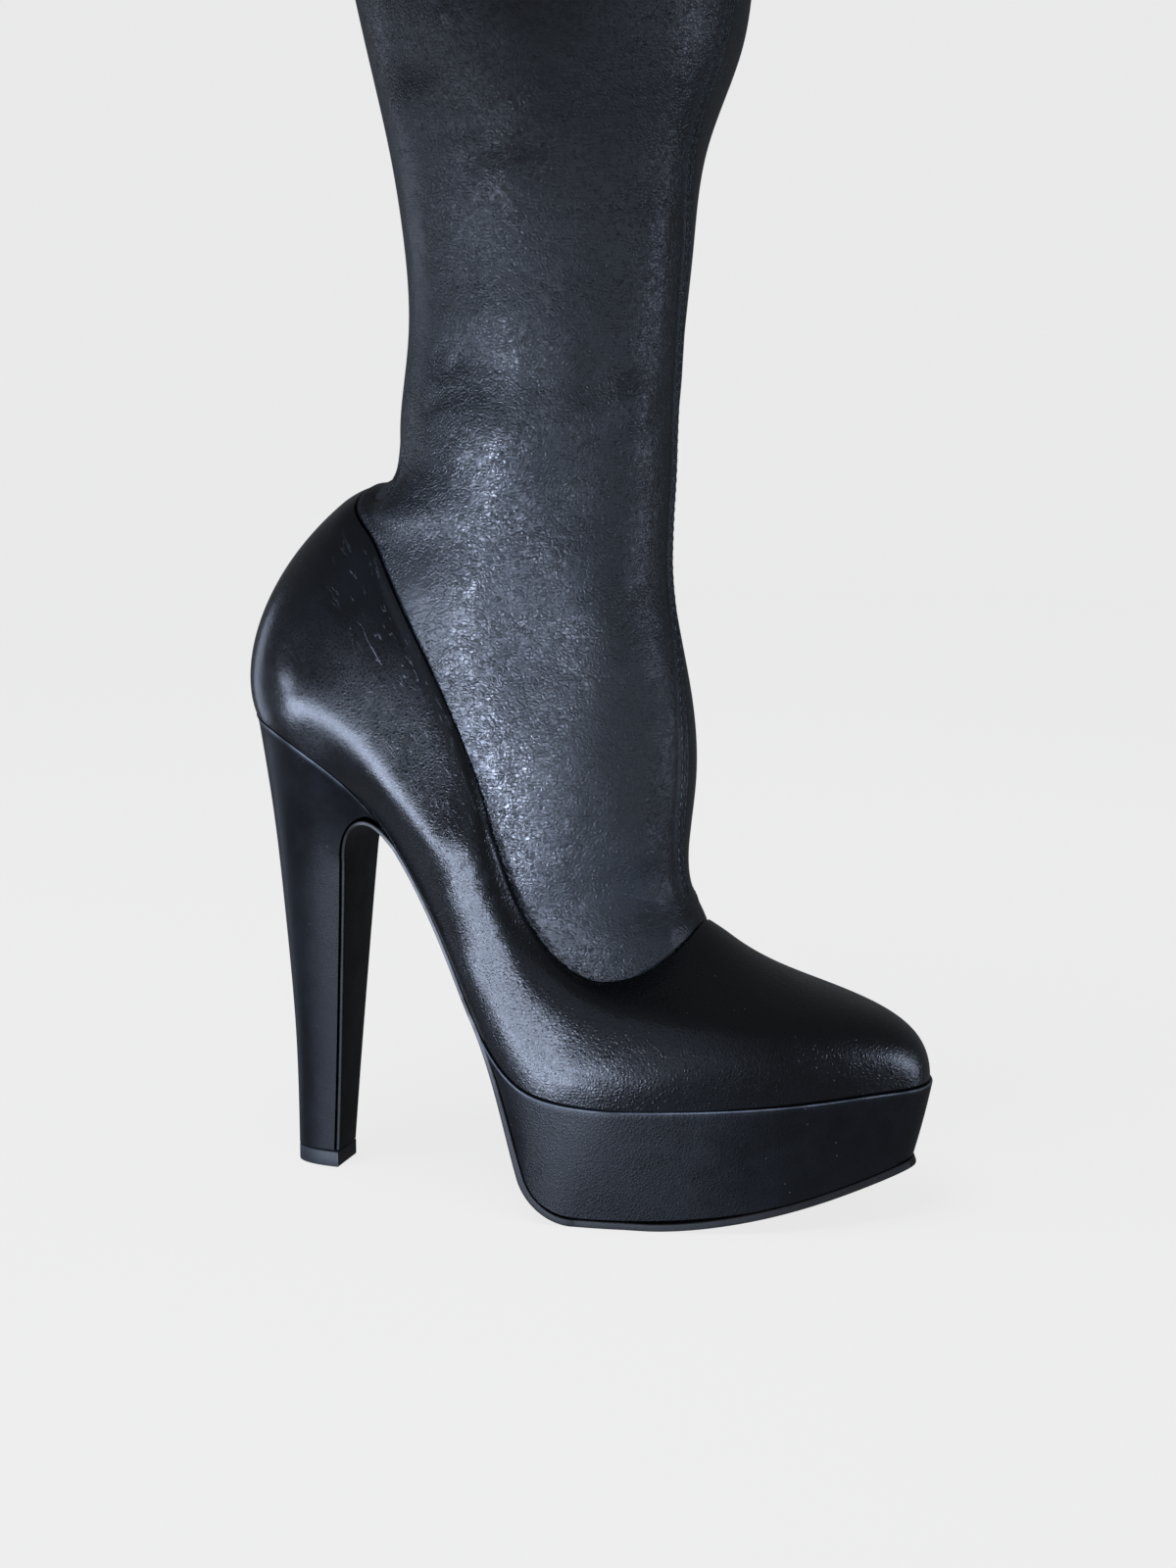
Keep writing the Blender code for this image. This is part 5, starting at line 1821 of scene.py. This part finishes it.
@dataclass
class Heel:
    """Tall leather-covered heel with a flat breast, flaring into the seat.

    The pale line at the seat, a painted highlight along the cover's top edge, is drawn wider than the real
    one, so that it shows in the render.
    """

    roundness: float = 2.3
    seat_inset: float = -0.35
    back_points: int = 73
    cup_places: tuple[float, ...] = (0.12, 0.3, 0.45, 0.6, 0.75, 0.88, 1.0)
    cup_depth: float = 0.4
    cup_powers: tuple[int, int] = (2, 6)
    flare_reach: float = 24.0
    flare_rounds: int = 120
    seat_line: float = 1.9
    sharp: float = 50.0
    lift_thickness: float = 5.2
    lift_back: float = -94.6
    lift_insets: tuple[float, ...] = (0.5, 0.15, 0.0, 0.0, 0.0, 0.1, 0.35)
    lift_levels: tuple[float, ...] = (0.0, 0.15, 0.5, 2.6, 4.7, 5.05, 5.2)

    def outline(self) -> tuple[Array, Array]:
        """D-shape from its outer front corner round the back: half of an ellipse of a higher power.

        Returns:
            Depth shares and width shares of its points.
        """
        turn = np.radians(np.linspace(-90.0, 90.0, self.back_points))
        depth = np.maximum(np.cos(turn), 0.0) ** (2.0 / self.roundness)
        width = np.sign(np.sin(turn)) * np.abs(np.sin(turn)) ** (2.0 / self.roundness)
        depth[[0, -1]] = 0.0
        width[self.back_points // 2] = 0.0
        return depth, width

    def rings(self) -> Array:
        """D-shaped rings from the foot to the seat, the upper ones bent up into the cup of the seat.

        Returns:
            Rings by points.
        """
        flap = SOLE.stations[SOLE.flap_first:][::-1]
        ways = SOLE.normals[SOLE.flap_first:][::-1]
        front = flap[:, :2] + ways * (flap[:, 4:] + LAST.seat_gap)
        heights = column(BREAST, "back_height")
        breast_up = np.interp(SOLE.breast_shares[::-1], column(BREAST, "share"), heights)
        bent = np.linspace(1.0, 0.0, len(self.cup_places))
        arch = np.interp(SOLE.arch_shares[::-1], self.cup_places, bent)
        climb = np.append(np.zeros_like(breast_up), arch)[:, None]
        seat_back = FEATHER[0].height - LAST.seat_gap
        back_up = np.append(breast_up, heights[-1] + (seat_back - heights[-1]) * arch)
        back = LAST.heel_back(back_up) + self.seat_inset
        depth, width = self.outline()
        forward = front[:, :1] + (back[:, None] - front[:, :1]) * depth
        level = front[:, 1:] + (back_up[:, None] - front[:, 1:]) * depth
        edge = np.linspace(0.0, 180.0, EDGE_SAMPLES)
        across = LAST.feather_forward(edge)
        seat = np.interp(forward, across, LAST.feather_height(edge)) - LAST.seat_gap
        hold = ease(0.0, self.cup_depth, depth)
        early, late = self.cup_powers
        seat_share = climb ** early * (hold + (1.0 - hold) * climb ** late)
        height = level + (seat - level) * seat_share
        plain = np.where(width < 0, -flap[:, 2:3], flap[:, 3:4]) * width
        outer = np.interp(forward, across, LAST.feather_side(edge)) - self.seat_inset
        inner = np.interp(forward, across, -LAST.feather_side(360.0 - edge)) - self.seat_inset
        cup = np.where(width < 0, -np.maximum(outer, 0.0), np.maximum(inner, 0.0))
        cup[:, self.back_points // 2] = 0.0
        rings = points(forward, plain + (cup - plain) * seat_share, height)
        flare = np.exp(-((np.arange(len(rings)) - len(breast_up)) / self.flare_reach) ** 4)
        return eased_rows(rings, (flare[:, None] * hold)[..., None], self.flare_rounds)

    def paired(self, rings: Array) -> Array:
        """Rings with the back point twice, so that each point of one half faces one of the other."""
        half = self.back_points // 2
        return np.concatenate((rings[:, :half + 1], rings[:, half:]), axis=1)

    def build(self) -> Piece:
        """Mesh of the heel body through its rings, with a painted highlight that grows with the nearness to
        the seat.

        Returns:
            The piece.
        """
        rings = self.paired(self.rings())
        # Painted highlight: the rings nearest the seat, which the finish makes pale and glossier.
        steps = np.linalg.norm(np.diff(rings, axis=0), axis=-1)
        below = np.vstack((np.cumsum(steps[::-1], axis=0)[::-1], np.zeros((1, rings.shape[1]))))
        return loft_object("heel_cover", placed(rings), self.sharp, np.exp(-(below / self.seat_line) ** 2))

    def build_lift(self) -> Piece:
        """Mesh of the rubber lift: the outline of the heel's foot, with eased edges.

        Returns:
            The piece.
        """
        depth, width = self.outline()
        foot, head = SOLE.breast_foot, SOLE.breast_head
        front = foot[0] - (head[0] - foot[0]) * self.lift_thickness / head[1]
        inset = np.array(self.lift_insets)[:, None]
        level = np.array(self.lift_levels)[:, None]
        forward = front + (self.lift_back - front) * depth + inset * (2.0 * depth - 1.0)
        rings = points(forward, (BREAST[0].half_width - inset) * width, level)
        return loft_object("rubber_lift", placed(self.paired(rings)), self.sharp)

    def dress(self, heel: Piece, lift: Piece) -> None:
        """Leather pulled over the heel, rubber on its foot.

        Args:
            heel: the heel body.
            lift: the rubber lift.
        """
        heel.data.materials.append(HEEL_LEATHER.build())
        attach(heel, "root")
        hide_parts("heel")
        lift.data.materials.append(LIFT_RUBBER.build())
        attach(lift, "root")
        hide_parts("top_piece")


class Receiver(Enum):
    """What a lamp shines on."""

    FLOOR = ("studio_floor",)
    SHAFT = ("shaft_leather", "seam_stitches")
    PUMP = ("upper_leather",)
    COVERS = ("platform_cover", "outsole_leather", "heel_cover", "rubber_lift", "sock_lined_insole")
    BOOT = SHAFT + PUMP + COVERS


COOL = "d3e2ff"
LOW_AIM = (0.0, 0.0, 0.125)


@dataclass
class Lamp:
    """Soft rectangular studio lamp, placed by its direction from the boot. Sizes are metres."""

    name: str
    azimuth: float
    elevation: float
    distance: float
    size: Pair
    power: float
    receiver: Receiver = Receiver.BOOT
    spread: float = 180.0
    aim: Triple = (0.0, 0.0, 0.17)
    colour: str = COOL

    def build(self) -> None:
        """Add the lamp, unseen by the camera, to shine on its receivers alone."""
        light = bpy.data.lights.new(self.name, "AREA")
        light.shape = "RECTANGLE"
        light.size, light.size_y = self.size
        light.energy = self.power
        light.spread = np.radians(self.spread)
        light.color = srgb(self.colour)[:3]
        lamp = bpy.data.objects.new(self.name, light)
        turn, rise = np.radians(self.azimuth), np.radians(self.elevation)
        way = Vector((np.sin(turn) * np.cos(rise), -np.cos(turn) * np.cos(rise), np.sin(rise)))
        lamp.location = Vector(self.aim) + way * self.distance
        lamp.rotation_euler = (-way).to_track_quat("-Z", "Y").to_euler()
        lamp.visible_camera = False
        bpy.context.scene.collection.objects.link(lamp)
        lit = bpy.data.collections.new(self.name + "_lit")
        for name in self.receiver.value:
            lit.objects.link(bpy.data.objects[name])
        lamp.light_linking.receiver_collection = lit


LAMPS = (
    Lamp("shaft_key", -22.0, -11.0, 1.2, (0.5, 0.12), 0.58, Receiver.SHAFT, 22.0, LOW_AIM),
    Lamp("shaft_front", 12.0, -6.0, 1.2, (0.4, 0.12), 0.15, Receiver.SHAFT, 22.0, LOW_AIM),
    Lamp("shaft_left", -52.0, -12.0, 1.2, (0.5, 0.12), 0.26, Receiver.SHAFT, 26.0, LOW_AIM),
    Lamp("shaft_fill_left", -70.0, -14.0, 1.2, (0.4, 0.6), 0.9, Receiver.SHAFT),
    Lamp("shaft_fill_right", 46.0, -14.0, 1.2, (1.3, 0.9), 3.8, Receiver.SHAFT),
    Lamp("pump_card", -55.0, -20.0, 1.2, (0.7, 0.20), 6.4, Receiver.PUMP),
    Lamp("vamp_card", -20.0, -16.0, 1.2, (0.7, 0.24), 8.0, Receiver.PUMP),
    Lamp("vamp_fill", 14.0, -8.0, 1.2, (0.6, 0.30), 0.5, Receiver.PUMP),
    Lamp("vamp_low_card", -34.0, -33.0, 1.2, (0.7, 0.20), 9.0, Receiver.PUMP),
    Lamp("counter_card", -68.0, -8.0, 1.2, (0.14, 0.16), 1.0, Receiver.PUMP),
    Lamp("pump_fill", 10.0, 25.0, 1.2, (0.8, 0.8), 0.7, Receiver.PUMP),
    Lamp("toe_card", 84.0, 2.0, 1.1, (0.24, 0.24), 2.0, Receiver.PUMP),
    Lamp("platform_card", -14.0, -34.0, 1.2, (0.4, 0.24), 2.3, Receiver.COVERS),
    Lamp("heel_card", -20.0, -10.0, 1.2, (0.9, 0.36), 21.0, Receiver.COVERS),
    Lamp("left_card", -104.0, -8.0, 1.1, (0.3, 0.6), 1.1),
    Lamp("right_card", 98.0, -4.0, 1.1, (0.4, 0.4), 2.2),
    Lamp("floor_light", -20.0, 70.0, 1.5, (0.9, 0.9), 14.0, Receiver.FLOOR, colour="ffffff"),
)


@dataclass
class Studio:
    """Pale floor that curves up into a backdrop, soft lamps and the camera.

    The room is measured in metres; lens, sensor and the clouds of the paper are millimetres.
    """

    camera_place: Triple = (0.31134, -0.92936, 0.32679)
    camera_aim: Triple = (0.00038, 0.0, 0.12782)
    lens: float = 75.6
    sensor_height: float = 36.0
    nearest: float = 0.01
    floor_reach: float = 2.2
    floor_bend: float = 0.9
    flat_share: float = 0.5
    middle: float = 0.002
    floor_rings: int = 40
    floor_sides: int = 96
    backdrop_height: float = 2.6
    paper: tuple[str, str] = ("5a5a5a", "606060")
    paper_cloud: float = 400.0
    paper_roughness: float = 0.9
    glow: str = "ededed"
    glow_strength: float = 0.93
    room: str = "cdd2d9"
    room_strength: float = 0.19

    def build_floor(self) -> None:
        """Floor and backdrop as one bowl: flat, then a quarter round up to a wall."""
        run = np.linspace(0.0, 1.0, self.floor_rings)
        on_flat = run < self.flat_share
        turn = np.radians(90.0) * ease(self.flat_share, 1.0, run)
        level = self.floor_reach - self.floor_bend
        radius = np.where(on_flat, run / self.flat_share * level, level + self.floor_bend * np.sin(turn))
        radius = np.maximum(radius, self.middle)[:, None]
        rise = np.where(on_flat, 0.0, self.backdrop_height * (1.0 - np.cos(turn)))[:, None]
        round_turn = np.radians(np.linspace(0.0, 360.0, self.floor_sides, endpoint=False))
        grid = points(radius * np.cos(round_turn), radius * np.sin(round_turn), rise)
        floor = grid_object("studio_floor", grid)
        floor.visible_diffuse = False
        floor.visible_glossy = False
        floor.visible_shadow = False
        floor.data.materials.append(self.paper_material())

    def paper_material(self) -> bpy.types.Material:
        """Finish of the floor: two close greys in clouds, with a glow.

        Returns:
            The material.
        """
        # Seamless paper, rolled smooth and matt: an even pale ground, whose glow stands for the light
        # that a whole studio would throw on it.
        material = bpy.data.materials.new("studio_paper")
        material.use_nodes = True
        add = partial(add_node, material.node_tree)
        shader = material.node_tree.nodes["Principled BSDF"]
        shader.inputs["Roughness"].default_value = self.paper_roughness
        shader.inputs["Specular IOR Level"].default_value = 0.0
        shader.inputs["Emission Color"].default_value = srgb(self.glow)
        shader.inputs["Emission Strength"].default_value = self.glow_strength
        where = add("TexCoord", out="Object")
        cloud = {"Vector": where, "Scale": 1.0 / (self.paper_cloud * MM), "Detail": 2.0}
        dark, pale = (srgb(code) for code in self.paper)
        greys = {0: add("TexNoise", cloud, "Fac"), 6: dark, 7: pale}
        tone = add("Mix", greys, 2, data_type="RGBA")
        material.node_tree.links.new(tone, shader.inputs["Base Color"])
        return material

    def build_surroundings(self) -> None:
        """Dim room round the boot, seen only in its gloss."""
        world = bpy.data.worlds.new("studio_room")
        world.use_nodes = True
        room = world.node_tree.nodes["Background"]
        room.inputs["Color"].default_value = srgb(self.room)
        room.inputs["Strength"].default_value = self.room_strength
        bpy.context.scene.world = world

    def build_camera(self) -> None:
        """Camera at the photographed angle."""
        lens = bpy.data.cameras.new("studio_camera")
        lens.sensor_fit = "VERTICAL"
        lens.sensor_height = self.sensor_height
        lens.lens = self.lens
        lens.clip_start = self.nearest
        camera = bpy.data.objects.new("studio_camera", lens)
        camera.location = self.camera_place
        aim = Vector(self.camera_aim) - Vector(self.camera_place)
        camera.rotation_euler = aim.to_track_quat("-Z", "Y").to_euler()
        bpy.context.scene.collection.objects.link(camera)
        bpy.context.scene.camera = camera

    def build(self) -> None:
        """Camera, floor, surroundings and lamps."""
        self.build_camera()
        self.build_floor()
        self.build_surroundings()
        for lamp in LAMPS:
            lamp.build()
        bpy.context.scene.view_settings.view_transform = "Standard"


def report(piece: Piece) -> None:
    """Log the faces of a piece."""
    LOG.info("%s: %d faces", piece.name, len(piece.data.polygons))


def main() -> None:
    """Build and dress the boot's pieces in order, then the studio."""
    logging.basicConfig(level=logging.INFO, format="%(name)s %(message)s")
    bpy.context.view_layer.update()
    for maker in (Upper(), Shaft(), Insole(), Platform(), Outsole()):
        piece = maker.build()
        maker.dress(piece)
        report(piece)
    report(Shaft().build_stitches())
    heel = Heel()
    body, lift = heel.build(), heel.build_lift()
    heel.dress(body, lift)
    report(body)
    report(lift)
    Studio().build()


if __name__ == "__main__":
    main()
